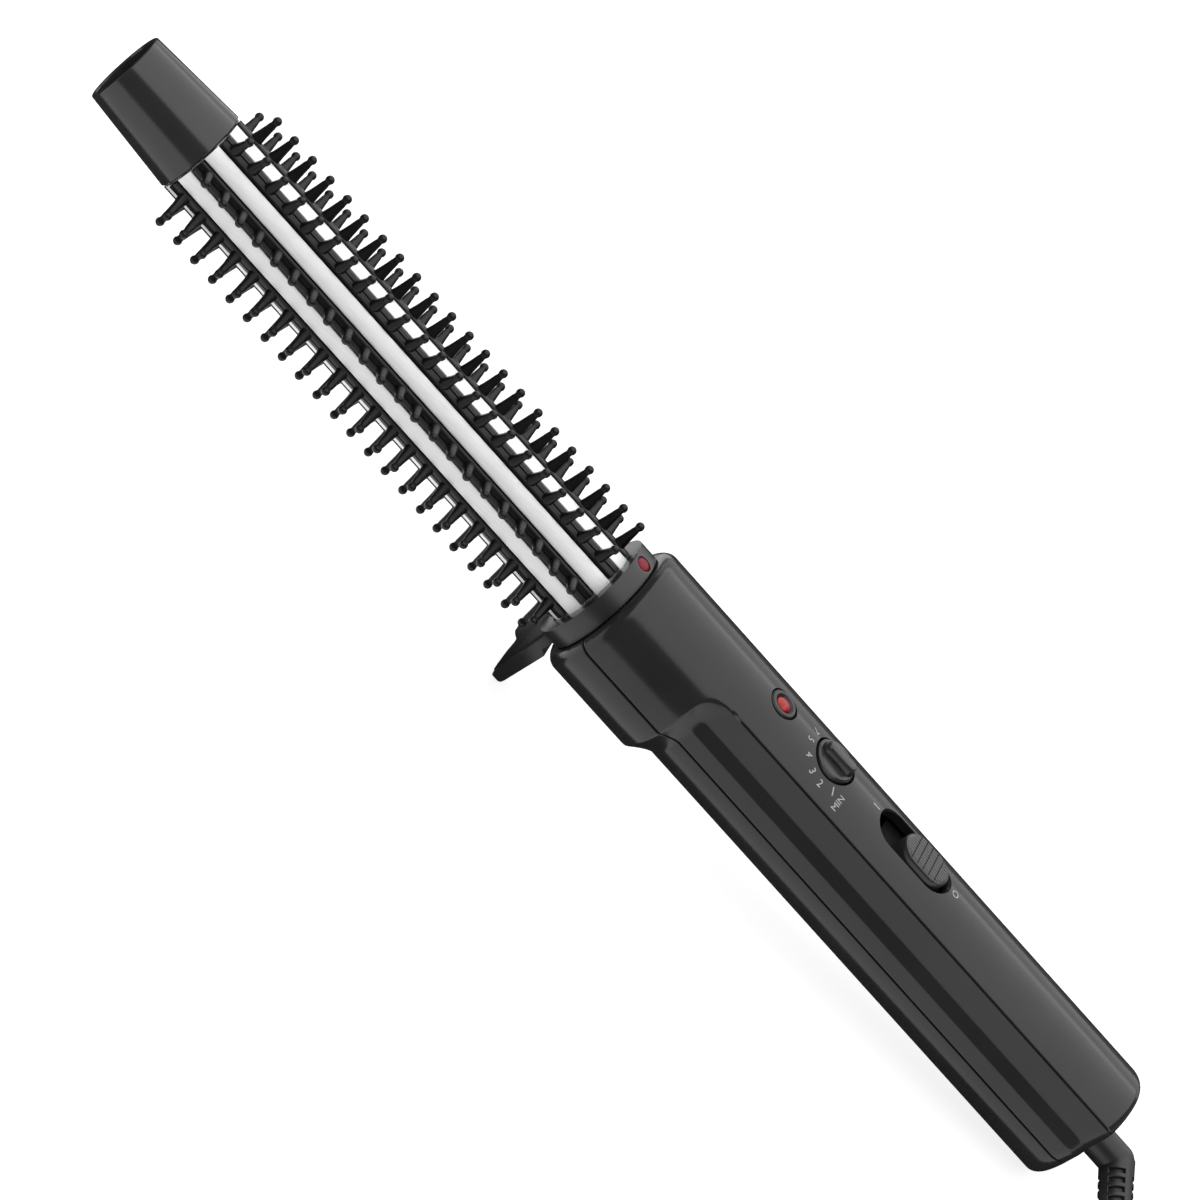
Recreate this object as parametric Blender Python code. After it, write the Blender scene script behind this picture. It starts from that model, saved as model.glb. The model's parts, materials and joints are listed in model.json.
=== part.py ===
"""Heated styling brush: a ribbed-grip handle, an aluminium barrel with eight bristle strips, a cool tip,
a heel rest, a slide switch, a heat dial and a mains cord folded into a hank.

Everything but the cord is modelled in the tool's own axes (+X along the barrel from the handle's end to the
tip, +Z through the controls) under one empty, which stands the tool on its heel rest and handle end."""

import math

import bmesh
import bpy
from mathutils import Matrix, Vector

# Barrel and bristles
BARREL_RADIUS = 0.009525
BARREL_BORE = 0.0062
BARREL_LENGTH = 0.1370
BARREL_FRONT = 0.2690
STRIPS = 8
STRIP_WIDTH = 0.0030
STRIP_GROOVE_DEPTH = 0.0017
STRIP_TOP_RADIUS = 0.0099
STRIP_CLEARANCE = 0.0003
STRIP_REAR = 0.1545
BRISTLES = 22
BRISTLE_PITCH = 0.00508
FIRST_BRISTLE = 0.2658
BRISTLE_TIP_RADIUS = 0.0162
# How far each strip sits towards the handle in its groove, counted round from the top.
STRIP_SHIFT = (0.0, 0.0, 0.0006, 0.0020, 0.0, 0.0, 0.0006, 0.0020)

# Cool tip
TIP_FRONT = 0.2905
TIP_FRONT_RADIUS = 0.0085
TIP_BASE_RADIUS = 0.0099
TIP_WALL = 0.0011
TIP_FLOOR = 0.2730

# Collar and heel rest
COLLAR_REAR = 0.1497
COLLAR_FRONT = 0.1541
COLLAR_RADIUS = 0.0131
FOOT_REACH = 0.0318

# Handle
HANDLE_LENGTH = 0.1494
SHOULDER_RADIUS = 0.01615
PANEL_RADIUS = 0.0175
PANEL_CENTRE = -0.0017
PANEL_HALF_ANGLE = math.radians(38.9)
GRIP_HALF_WIDTH = 0.0132
GRIP_SIDE_HEIGHT = 0.01957
GRIP_DEPTH = 0.0128
# The grip's upper side is a flat flank, then a ledge that slopes out to the belly. Each is a plane, given by
# the angle of its normal from the top and its distance from the axis.
FLANK_ANGLE = math.radians(78)
FLANK_DISTANCE = 0.01253
LEDGE_ANGLE = math.radians(60)
LEDGE_DISTANCE = 0.01318
SHOULDER_REAR = 0.1260
GRIP_FRONT = 0.1213
RECESS_CORNER = 0.0055
END_ROUND = 0.0050
FRONT_ROUND = 0.0026
WALL = 0.0021
SEAM_GAP = 0.0003
CLEARANCE = 0.0003
BUSH_RADIUS = 0.0105
PANEL_TOP = PANEL_RADIUS + PANEL_CENTRE
HANDLE_SIDES = 60
CAVITY_SIDES = 28
SCREW_PLACES = (0.0330, 0.1262)
SCREW_NAMES = ("rear_handle_screw", "front_handle_screw")

# Controls, as places along the handle
LAMP_X = 0.1126
LAMP_RADIUS = 0.0032
LENS_RADIUS = 0.0017
DIAL_X = 0.0971
DIAL_RADIUS = 0.0048
DIAL_HOLE = 0.0052
SLOT_REAR = 0.0625
SLOT_FRONT = 0.0827
SLOT_WIDTH = 0.0092
SLIDER_REAR = 0.0636
SLIDER_LENGTH = 0.0125
SLIDER_WIDTH = 0.0083

# Circuit board, on which the controls stand
BOARD_REAR = 0.0500
BOARD_FRONT = 0.1180
BOARD_HALF_WIDTH = 0.0095
BOARD_TOP = 0.0059
BOARD_THICKNESS = 0.0014

# Cord
NECK_RADIUS = 0.0037
NECK_HEIGHT = 0.0016
NECK_LENGTH = 0.0053
SLEEVE_LENGTH = 0.0300
SLEEVE_END_RADIUS = 0.0034
CORD_RADIUS = 0.0030
SLEEVE_BEND = 0.0060
SLEEVE_TURN = math.radians(65)
SLEEVE_STRAIGHT = 0.0130
CORD_BEND = 0.0260
CORD_REST = 0.0040
HANK_GAP = 0.0504
HANK_RUN = 0.0700
HANK_FOLD = 0.0186
HANK_LAYERS = 3
HANK_BASE = 0.0009
TIE_WIDTH = 0.0080
TIE_THICKNESS = 0.0006
PLUG_LEAD = 0.0320
PLUG_LENGTH = 0.0310
PLUG_HALF_WIDTH = 0.0120
PLUG_HALF_HEIGHT = 0.0070
PLUG_SQUARENESS = 0.6  # the power that turns an ellipse into a rounded oblong
BLADE_LENGTH = 0.0170
BLADE_SPACING = 0.0127


def clear_scene():
    for obj in list(bpy.data.objects):
        bpy.data.objects.remove(obj)


def material(name, colour, metallic, roughness):
    made = bpy.data.materials.new(name)
    made.use_nodes = True
    shader = made.node_tree.nodes["Principled BSDF"]
    shader.inputs["Base Color"].default_value = (*colour, 1.0)
    shader.inputs["Metallic"].default_value = metallic
    shader.inputs["Roughness"].default_value = roughness
    return made


def finished(name, shape, finish, parent=None, centre=(0, 0, 0)):
    """An object from a bmesh whose coordinates are its parent's, with its origin moved to centre."""
    bmesh.ops.recalc_face_normals(shape, faces=shape.faces)
    bmesh.ops.translate(shape, verts=shape.verts, vec=-Vector(centre))
    mesh = bpy.data.meshes.new(name)
    shape.to_mesh(mesh)
    shape.free()
    mesh.materials.append(finish)
    mesh.shade_smooth()
    mesh.set_sharp_from_angle(angle=math.radians(35))
    obj = bpy.data.objects.new(name, mesh)
    bpy.context.scene.collection.objects.link(obj)
    obj.parent = parent
    obj.location = centre
    return obj


def loft(rings, closed=False):
    """A bmesh skinned over rings of equally many points, capped at both ends, or closed into a loop."""
    shape = bmesh.new()
    loops = [[shape.verts.new(point) for point in ring] for ring in rings]
    pairs = list(zip(loops, loops[1:]))
    if closed:
        pairs.append((loops[-1], loops[0]))
    for first, second in pairs:
        for i in range(len(first)):
            j = (i + 1) % len(first)
            shape.faces.new((first[i], first[j], second[j], second[i]))
    if not closed:
        shape.faces.new(loops[0][::-1])
        shape.faces.new(loops[-1])
    return shape


def circle_x(x, radius, sides, y=0.0, z=0.0):
    steps = [math.tau * i / sides for i in range(sides)]
    return [Vector((x, y + radius * math.sin(a), z + radius * math.cos(a))) for a in steps]


def circle_z(x, y, z, radius, sides):
    steps = [math.tau * i / sides for i in range(sides)]
    return [Vector((x + radius * math.cos(a), y + radius * math.sin(a), z)) for a in steps]


def turned_x(outline, sides, closed=False, z=0.0):
    """A shape turned about X from (place, radius) pairs."""
    return loft([circle_x(x, radius, sides, z=z) for x, radius in outline], closed)


def turned_z(x, outline, sides, closed=False):
    """A shape turned about a vertical axis from (height, radius) pairs."""
    return loft([circle_z(x, 0, z, radius, sides) for z, radius in outline], closed)


def block(low, high):
    corners = [[(x, y, z) for y, z in ((low[1], low[2]), (high[1], low[2]),
                                       (high[1], high[2]), (low[1], high[2]))]
               for x in (low[0], high[0])]
    return loft([[Vector(c) for c in ring] for ring in corners])


def outline_prism(outline, low, high):
    """A flat outline of (x, y) points extruded from the height low to the height high."""
    return loft([[Vector((x, y, z)) for x, y in outline] for z in (low, high)])


def stadium(x0, x1, y, radius, steps=6):
    """An outline with round ends: two half circles centred on (x0, y) and (x1, y)."""
    points = []
    for centre, start in ((x1, -math.pi / 2), (x0, math.pi / 2)):
        for i in range(steps + 1):
            a = start + math.pi * i / steps
            points.append((centre + radius * math.cos(a), y + radius * math.sin(a)))
    return points


def boolean(obj, cutter, operation="DIFFERENCE"):
    modifier = obj.modifiers.new(cutter.name, "BOOLEAN")
    modifier.operation = operation
    modifier.object = cutter
    return obj


def helper(name, shape, parent):
    """A cutter or a shape to be united with another: never rendered itself."""
    obj = finished(name, shape, HELPER, parent)
    obj.hide_render = True
    obj.display_type = "WIRE"
    return obj


# Handle section

def panel_section(phi):
    """Distance from the axis to the crowned control panel, at the angle phi from the top."""
    flat = PANEL_CENTRE * math.cos(phi)
    return flat + math.sqrt(PANEL_RADIUS**2 - (PANEL_CENTRE * math.sin(phi)) ** 2)


def ellipse_section(phi, half_width, half_height):
    return 1 / math.hypot(math.sin(phi) / half_width, math.cos(phi) / half_height)


def plane_section(phi, normal, distance):
    return distance / math.cos(phi - normal)


def grip_section(phi):
    """Distance from the axis to the grip, at the angle phi from the top."""
    if phi > math.pi / 2:
        return ellipse_section(phi, GRIP_HALF_WIDTH, GRIP_DEPTH)
    belly = ellipse_section(phi, GRIP_HALF_WIDTH, GRIP_SIDE_HEIGHT)
    ledge = min(plane_section(phi, LEDGE_ANGLE, LEDGE_DISTANCE), belly)
    return max(plane_section(phi, FLANK_ANGLE, FLANK_DISTANCE), ledge)


def blend(x, low, high):
    t = min(max((x - low) / (high - low), 0.0), 1.0)
    return t * t * (3 - 2 * t)


def handle_radius(x, phi):
    """The handle's surface: shoulder in front, then a grip recessed on its sides and underneath."""
    phi = abs((phi + math.pi) % math.tau - math.pi)
    if phi <= PANEL_HALF_ANGLE:
        radius = panel_section(phi)
    else:
        grip = grip_section(phi)
        beside_panel = (phi - PANEL_HALF_ANGLE) * SHOULDER_RADIUS
        inside = max(RECESS_CORNER - beside_panel, 0.0)
        corner = RECESS_CORNER - math.sqrt(RECESS_CORNER**2 - inside**2)
        share = blend(x + corner, GRIP_FRONT, SHOULDER_REAR)
        radius = grip + (SHOULDER_RADIUS - grip) * share
    front = x - HANDLE_LENGTH + FRONT_ROUND
    for edge, size in ((END_ROUND - x, END_ROUND), (front, FRONT_ROUND)):
        if edge > 0:
            radius -= size - math.sqrt(max(size**2 - edge**2, 0.0))
    return radius


def handle_ring(x, inset, sides):
    ring = []
    for i in range(sides):
        phi = math.tau * (i + 0.5) / sides
        radius = handle_radius(x, phi) - inset
        ring.append(Vector((x, radius * math.sin(phi), radius * math.cos(phi))))
    return ring


def handle_blank():
    """The handle's outer shape, before it is hollowed and parted into two shells."""
    end = [END_ROUND * (1 - math.sin(math.pi / 2 * i / 5)) for i in range(5, 0, -1)] + [END_ROUND]
    step = [GRIP_FRONT - RECESS_CORNER, GRIP_FRONT - 0.0015]
    step += [GRIP_FRONT + (SHOULDER_REAR - GRIP_FRONT) * i / 4 for i in range(5)]
    straight = HANDLE_LENGTH - FRONT_ROUND
    front = [straight + FRONT_ROUND * math.sin(math.pi / 2 * i / 3) for i in range(4)]
    return loft([handle_ring(x, 0.0, HANDLE_SIDES) for x in end + step + front])


def handle_shells(tool):
    inside = (END_ROUND, 0.060, 0.1195, 0.1275, HANDLE_LENGTH - FRONT_ROUND)
    cavity = loft([handle_ring(x, WALL, CAVITY_SIDES) for x in inside])
    bush_hole, neck_hole = BUSH_RADIUS + CLEARANCE, NECK_RADIUS + CLEARANCE
    lamp_hole, half_slot = LAMP_RADIUS + 0.0002, SLOT_WIDTH / 2
    slot = stadium(SLOT_REAR + half_slot, SLOT_FRONT - half_slot, 0, half_slot)
    cuts = [
        helper("handle_cavity", cavity, tool),
        helper("barrel_bore", turned_x([(0.140, bush_hole), (0.160, bush_hole)], 32), tool),
        helper("neck_bore", turned_x([(-0.01, neck_hole), (0.01, neck_hole)], 16, z=NECK_HEIGHT), tool),
    ]
    holes = [
        helper("lamp_opening", turned_z(LAMP_X, [(0.010, lamp_hole), (0.020, lamp_hole)], 20), tool),
        helper("dial_opening", turned_z(DIAL_X, [(0.010, DIAL_HOLE), (0.020, DIAL_HOLE)], 24), tool),
        helper("switch_slot", outline_prism(slot, 0.010, 0.020), tool),
    ]
    wide = 0.03
    below = helper("below_seam", block((-0.01, -wide, -wide), (0.17, wide, SEAM_GAP / 2)), tool)
    above = helper("above_seam", block((-0.01, -wide, -SEAM_GAP / 2), (0.17, wide, wide)), tool)
    top = finished("handle_top_shell", handle_blank(), DARK_PLASTIC, tool)
    bottom = finished("handle_bottom_shell", handle_blank(), DARK_PLASTIC, tool)
    for cutter in cuts + holes + [below]:
        boolean(top, cutter)
    for cutter in cuts + [above]:
        boolean(bottom, cutter)
    for i, x in enumerate(SCREW_PLACES):
        seat_low = WALL / 2 - handle_radius(x, math.pi)
        post = turned_z(x, [(SEAM_GAP / 2, 0.0032), (0.0145, 0.0032)], 12)
        hole = turned_z(x, [(-0.002, 0.0016), (0.010, 0.0016)], 12)
        head = turned_z(x, [(-0.030, 0.0030), (-0.0090, 0.0030), (-0.0090, 0.0018), (0.002, 0.0018)], 12)
        column = turned_z(x, [(seat_low, 0.0046), (-SEAM_GAP / 2, 0.0046)], 12)
        boss, pilot = helper(f"screw_post_{i}", post, tool), helper(f"screw_pilot_{i}", hole, tool)
        sink, seat = helper(f"screw_sink_{i}", head, tool), helper(f"screw_seat_{i}", column, tool)
        boolean(boolean(top, boss, "UNION"), pilot)
        boolean(boolean(bottom, seat, "UNION"), sink)


def handle_screws(tool):
    for name, x in zip(SCREW_NAMES, SCREW_PLACES):
        outline = [(-0.0118, 0.0026), (-0.0093, 0.0026), (-0.0093, 0.0013), (0.0095, 0.0013)]
        finished(name, turned_z(x, outline, 12), STEEL, tool, (x, 0, -0.0118))


def barrel(tool):
    """An extruded aluminium tube with one groove for each bristle strip."""
    half = (STRIP_WIDTH / 2 + STRIP_CLEARANCE) / BARREL_RADIUS
    floor = BARREL_RADIUS - STRIP_GROOVE_DEPTH
    outline = []
    for i in range(STRIPS):
        middle = math.tau * (i + 0.5) / STRIPS
        to_next = math.tau / STRIPS - 2 * half
        outline += [(BARREL_RADIUS, middle - half), (floor, middle - half * BARREL_RADIUS / floor),
                    (floor, middle + half * BARREL_RADIUS / floor)]
        outline += [(BARREL_RADIUS, middle + half + to_next * k / 4) for k in range(4)]
    rings = []
    for x, bore in ((BARREL_FRONT - BARREL_LENGTH, False), (BARREL_FRONT - 0.0003, False),
                    (BARREL_FRONT - 0.0003, True), (BARREL_FRONT - BARREL_LENGTH, True)):
        rings.append([Vector((x, (BARREL_BORE if bore else r) * math.sin(a),
                              (BARREL_BORE if bore else r) * math.cos(a))) for r, a in outline])
    finished("barrel_tube", loft(rings, closed=True), ALUMINIUM, tool)


def bristle_strip(tool, index):
    """A bar that lies in the barrel's groove, with a row of bristles that narrow and then end in a head."""
    rear = STRIP_REAR
    front = BARREL_FRONT - 0.0006
    foot = 0.0026
    places = [FIRST_BRISTLE - STRIP_SHIFT[index] - BRISTLE_PITCH * i for i in range(BRISTLES)]
    cuts = sorted([rear, front] + [x - foot / 2 for x in places] + [x + foot / 2 for x in places])
    low = BARREL_RADIUS - STRIP_GROOVE_DEPTH + 0.0003
    half = STRIP_WIDTH / 2
    shape = bmesh.new()
    top = [[shape.verts.new((x, y, STRIP_TOP_RADIUS)) for y in (-half, half)] for x in cuts]
    bottom = [[shape.verts.new((x, y, low)) for y in (-half, half)] for x in (rear, front)]
    for side in (0, 1):
        shape.faces.new([pair[side] for pair in top] + [bottom[1][side], bottom[0][side]])
    shape.faces.new((bottom[0][0], bottom[0][1], bottom[1][1], bottom[1][0]))
    for end, row in ((bottom[0], top[0]), (bottom[1], top[-1])):
        shape.faces.new((end[0], end[1], row[1], row[0]))
    for first, second in zip(top, top[1:]):
        face = shape.faces.new((first[0], first[1], second[1], second[0]))
        middle = face.calc_center_median()
        if not any(abs(middle.x - x) < foot / 4 for x in places):
            continue
        for height, width in ((0.0127, 0.00135), (0.0148, 0.00120), (BRISTLE_TIP_RADIUS, 0.00190)):
            made = bmesh.ops.extrude_discrete_faces(shape, faces=[face])
            face = made["faces"][0]
            centre = face.calc_center_median()
            for vert in face.verts:
                side = Vector((math.copysign(width / 2, vert.co.x - centre.x),
                               math.copysign(width / 2, vert.co.y - centre.y)))
                vert.co = (centre.x + side.x, side.y, height)
    angle = -math.tau * (index + 0.5) / STRIPS
    bmesh.ops.rotate(shape, verts=shape.verts, cent=(0, 0, 0), matrix=Matrix.Rotation(angle, 3, "X"))
    finished(f"bristle_strip_{index + 1}", shape, BRISTLE, tool)


def cool_tip(tool):
    """A tapered cap, hollow at its open end, with a socket that goes over the barrel's end plug."""
    def outer(x):
        t = (x - BARREL_FRONT) / (TIP_FRONT - BARREL_FRONT)
        return TIP_BASE_RADIUS + (TIP_FRONT_RADIUS - TIP_BASE_RADIUS) * t
    outline = [(BARREL_FRONT, TIP_BASE_RADIUS), (TIP_FRONT - 0.0005, outer(TIP_FRONT)),
               (TIP_FRONT, outer(TIP_FRONT) - 0.0004), (TIP_FRONT, TIP_FRONT_RADIUS - TIP_WALL),
               (TIP_FLOOR, outer(TIP_FLOOR) - TIP_WALL - 0.0008), (TIP_FLOOR, 0.0022),
               (BARREL_FRONT, 0.0022)]
    finished("cool_tip", turned_x(outline, 32, closed=True), DARK_PLASTIC, tool)
    plug = [(BARREL_FRONT - 0.012, 0.0035), (BARREL_FRONT - 0.012, 0.0059), (BARREL_FRONT - 0.0006, 0.0059),
            (BARREL_FRONT - 0.0006, 0.0035)]
    finished("tip_insulator", turned_x(plug, 20, closed=True), CERAMIC, tool)
    screw = [(BARREL_FRONT - 0.010, 0.0016), (TIP_FLOOR + 0.0003, 0.0016), (TIP_FLOOR + 0.0003, 0.0032),
             (TIP_FLOOR + 0.0023, 0.0028)]
    finished("tip_screw", turned_x(screw, 14), STEEL, tool)


def collar(tool):
    """A ring between barrel and handle, with the heel rest's leg and its web under it."""
    middle = (COLLAR_REAR + COLLAR_FRONT) / 2
    inner = BARREL_RADIUS + 0.00025
    edge = 0.0006
    outline = [(COLLAR_REAR, inner), (COLLAR_REAR, COLLAR_RADIUS - edge),
               (COLLAR_REAR + edge, COLLAR_RADIUS), (COLLAR_FRONT - edge, COLLAR_RADIUS),
               (COLLAR_FRONT, COLLAR_RADIUS - edge), (COLLAR_FRONT, inner)]
    ring = finished("stand_collar", turned_x(outline, 36, closed=True), DARK_PLASTIC, tool)
    web = [(COLLAR_REAR, -0.0112), (COLLAR_REAR + 0.0048, -0.0112), (0.1552, -0.0128),
           (0.1551, -0.0160), (0.1537, -0.0213), (0.1513, -0.0303),
           (COLLAR_REAR + 0.0009, -0.0313), (COLLAR_REAR + 0.0002, -0.0310)]
    sheet = loft([[Vector((x, y, z)) for x, z in web] for y in (-0.0011, 0.0011)])
    boolean(ring, helper("heel_web", sheet, tool), "UNION")
    leg = []
    for z, half_width, depth in ((-0.0110, 0.0040, 0.0023), (-0.0290, 0.0026, 0.0017),
                                 (-0.0310, 0.0024, 0.0015), (-FOOT_REACH, 0.0018, 0.0013)):
        lean = math.tan(TILT) * depth if z == -FOOT_REACH else 0.0
        ahead = COLLAR_REAR + depth
        leg.append([Vector(point) for point in (
            (COLLAR_REAR, -half_width, z), (COLLAR_REAR, half_width, z),
            (ahead, half_width, z - lean), (ahead, -half_width, z - lean))])
    boolean(ring, helper("heel_leg", loft(leg), tool), "UNION")
    pocket = [(0.0122, 0.0018), (0.0145, 0.0018)]
    boolean(ring, helper("dot_pocket", turned_z(middle, pocket, 14), tool))
    dot = [(0.0125, 0.0015), (COLLAR_RADIUS - 0.0001, 0.0015), (COLLAR_RADIUS + 0.0002, 0.0010)]
    finished("heat_ready_dot", turned_z(middle, dot, 14), RED_DOT, tool)
    inside, front = BARREL_RADIUS + 0.0002, COLLAR_REAR - CLEARANCE
    bush = [(0.1345, inside), (0.1345, BUSH_RADIUS), (front, BUSH_RADIUS), (front, inside)]
    finished("barrel_bush", turned_x(bush, 32, closed=True), CERAMIC, tool)


def heater(tool):
    finished("heater_carrier", block((0.1400, -0.0040, -0.0010), (0.2500, 0.0040, 0.0010)), CERAMIC, tool)
    finished("heater_plate", block((0.1650, -0.0035, 0.0013), (0.2400, 0.0035, 0.0027)), STEEL, tool)
    fuse = turned_x([(0.1500, 0.0010), (0.1510, 0.0014), (0.1600, 0.0014), (0.1610, 0.0010)], 12, z=-0.0030)
    finished("thermal_fuse", fuse, STEEL, tool)


def controls(tool):
    hole, rim = LENS_RADIUS + CLEARANCE, PANEL_TOP + 0.0001
    bezel = [(0.0125, hole), (0.0125, LAMP_RADIUS), (rim, LAMP_RADIUS), (rim, hole)]
    finished("lamp_bezel", turned_z(LAMP_X, bezel, 20, closed=True), BLACK_PLASTIC, tool)
    lens = [(0.0125, LENS_RADIUS), (PANEL_TOP - 0.0003, LENS_RADIUS),
            (PANEL_TOP + 0.0002, LENS_RADIUS * 0.6)]
    finished("indicator_lens", turned_z(LAMP_X, lens, 16), RED_LENS, tool)
    led = [(BOARD_TOP + 0.0003, 0.0019), (0.0100, 0.0019), (0.0115, 0.0012)]
    finished("indicator_lamp", turned_z(LAMP_X, led, 12), RED_LENS, tool)

    board = block((BOARD_REAR, -BOARD_HALF_WIDTH, BOARD_TOP - BOARD_THICKNESS),
                  (BOARD_FRONT, BOARD_HALF_WIDTH, BOARD_TOP))
    finished("circuit_board", board, BOARD, tool)
    control = block((DIAL_X - 0.0050, -0.0050, BOARD_TOP + 0.0003), (DIAL_X + 0.0050, 0.0050, 0.0092))
    finished("temperature_control", control, BLACK_PLASTIC, tool)
    shaft = turned_z(DIAL_X, [(0.0095, 0.0015), (0.0122, 0.0015)], 12)
    finished("dial_shaft", shaft, STEEL, tool, (DIAL_X, 0, 0.0095))
    knob = [(0.0125, DIAL_RADIUS), (rim, DIAL_RADIUS), (PANEL_TOP + 0.0004, DIAL_RADIUS - 0.0004)]
    dial = finished("heat_dial", turned_z(DIAL_X, knob, 24), DARK_PLASTIC, tool, (DIAL_X, 0, 0.0125))
    grip = block((DIAL_X - 0.0042, -0.0017, 0.0150), (DIAL_X + 0.0042, 0.0017, PANEL_TOP + 0.0024))
    boolean(dial, helper("dial_grip", grip, tool), "UNION")

    body = block((0.0600, -0.0050, BOARD_TOP + 0.0003), (0.0850, 0.0050, 0.0088))
    finished("switch_body", body, BLACK_PLASTIC, tool)
    middle = SLIDER_REAR + SLIDER_LENGTH / 2
    lever = block((middle - 0.0015, -0.0015, 0.0091), (middle + 0.0015, 0.0015, 0.0112))
    finished("switch_lever", lever, BLACK_PLASTIC, tool, (middle, 0, 0.0091))
    end = SLIDER_WIDTH / 2
    outline = stadium(SLIDER_REAR + end, SLIDER_REAR + SLIDER_LENGTH - end, 0, end)
    cap = outline_prism(outline, 0.0120, PANEL_TOP + 0.0009)
    button = finished("switch_button", cap, DARK_PLASTIC, tool, (middle, 0, 0.0115))
    flange = block((middle - 0.0100, -0.0056, 0.0115), (middle + 0.0100, 0.0056, 0.0125))
    boolean(button, helper("button_flange", flange, tool), "UNION")


def wiring(tool):
    """The mains wires and the heater's leads, each a round tube through a few points."""
    mains = [(0.0085, 0.0018, 0.0016), (0.0200, 0.0052, -0.0005), (0.0330, 0.0068, -0.0010),
             (0.0440, 0.0058, 0.0010), (0.0496, 0.0050, 0.0030)]
    lead = [(0.1184, 0.0040, 0.0030), (0.1215, 0.0068, 0.0005), (0.1262, 0.0078, -0.0010),
            (0.1300, 0.0050, -0.0010), (0.1335, 0.0040, -0.0005), (0.1396, 0.0025, 0.0)]
    for name, route, side in (("live_wire", mains, 1), ("neutral_wire", mains, -1),
                              ("heater_lead_1", lead, 1), ("heater_lead_2", lead, -1)):
        tube(name, [Vector((x, side * y, z)) for x, y, z in route], 0.0008, WIRE, tool, 1)
    finished("cord_clamp", block((0.0140, -0.0080, -0.0060), (0.0180, 0.0080, -0.0018)), BLACK_PLASTIC, tool)


def tube(name, points, radius, finish, parent=None, resolution=2):
    curve = bpy.data.curves.new(name, "CURVE")
    curve.dimensions = "3D"
    curve.bevel_depth = radius
    curve.bevel_resolution = resolution
    curve.use_fill_caps = True
    spline = curve.splines.new("POLY")
    spline.points.add(len(points) - 1)
    for place, point in zip(spline.points, points):
        place.co = (*point, 1.0)
    curve.materials.append(finish)
    obj = bpy.data.objects.new(name, curve)
    bpy.context.scene.collection.objects.link(obj)
    obj.parent = parent
    return obj


def neck(tool):
    """The swivel neck: its flange turns behind the handle's end wall."""
    outline = [(-NECK_LENGTH, NECK_RADIUS), (0.0053, NECK_RADIUS), (0.0053, 0.0056), (0.0075, 0.0056)]
    finished("cord_swivel_neck", turned_x(outline, 20, z=NECK_HEIGHT), BLACK_PLASTIC, tool,
             (0, 0, NECK_HEIGHT))


def along_cord(neck_end, distance):
    """A point of the cord's centre line on its way to the hank, by its distance from the neck: a bend away
    from the handle, a straight, and a wide bend back, sinking to the surface on the way."""
    first = SLEEVE_BEND * SLEEVE_TURN
    second = first + SLEEVE_STRAIGHT
    third = second + CORD_BEND * SLEEVE_TURN
    a = min(distance, first) / SLEEVE_BEND
    x, y = -SLEEVE_BEND * math.sin(a), SLEEVE_BEND * (1 - math.cos(a))
    run = min(max(distance - first, 0.0), SLEEVE_STRAIGHT)
    x, y = x - run * math.cos(SLEEVE_TURN), y + run * math.sin(SLEEVE_TURN)
    b = min(max(distance - second, 0.0) / CORD_BEND, SLEEVE_TURN)
    x -= CORD_BEND * (math.sin(SLEEVE_TURN) - math.sin(SLEEVE_TURN - b))
    y += CORD_BEND * (math.cos(SLEEVE_TURN - b) - math.cos(SLEEVE_TURN))
    x -= max(distance - third, 0.0)
    t = min(distance / third, 1.0)
    start, slope = neck_end.z, -third * math.tan(TILT)
    z = start + slope * t * (1 - t) ** 2 + (CORD_REST - start) * t * t * (3 - 2 * t)
    return Vector((neck_end.x + x, neck_end.y + y, z)), third


def sleeve_rings(neck_end):
    steps = 24
    rings = []
    for i in range(steps + 1):
        distance = SLEEVE_LENGTH * i / steps
        middle = along_cord(neck_end, distance)[0]
        near, further = max(distance - 0.0002, 0), distance + 0.0002
        ahead = (along_cord(neck_end, further)[0] - along_cord(neck_end, near)[0]).normalized()
        side = Vector((0, 0, 1)).cross(ahead).normalized()
        up = ahead.cross(side)
        radius = NECK_RADIUS + (SLEEVE_END_RADIUS - NECK_RADIUS) * i / steps
        rings.append([middle + radius * (math.cos(a) * side + math.sin(a) * up)
                      for a in (math.tau * k / 14 for k in range(14))])
    return rings


def hank_places(neck_end):
    """The middle of the hank across, and the places where its straight runs start and end."""
    turn = along_cord(neck_end, SLEEVE_LENGTH)[1]
    side = along_cord(neck_end, turn)[0].y
    near = neck_end.x - HANK_GAP
    return side - HANK_FOLD - 2 * CORD_RADIUS, near, near - HANK_RUN


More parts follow.
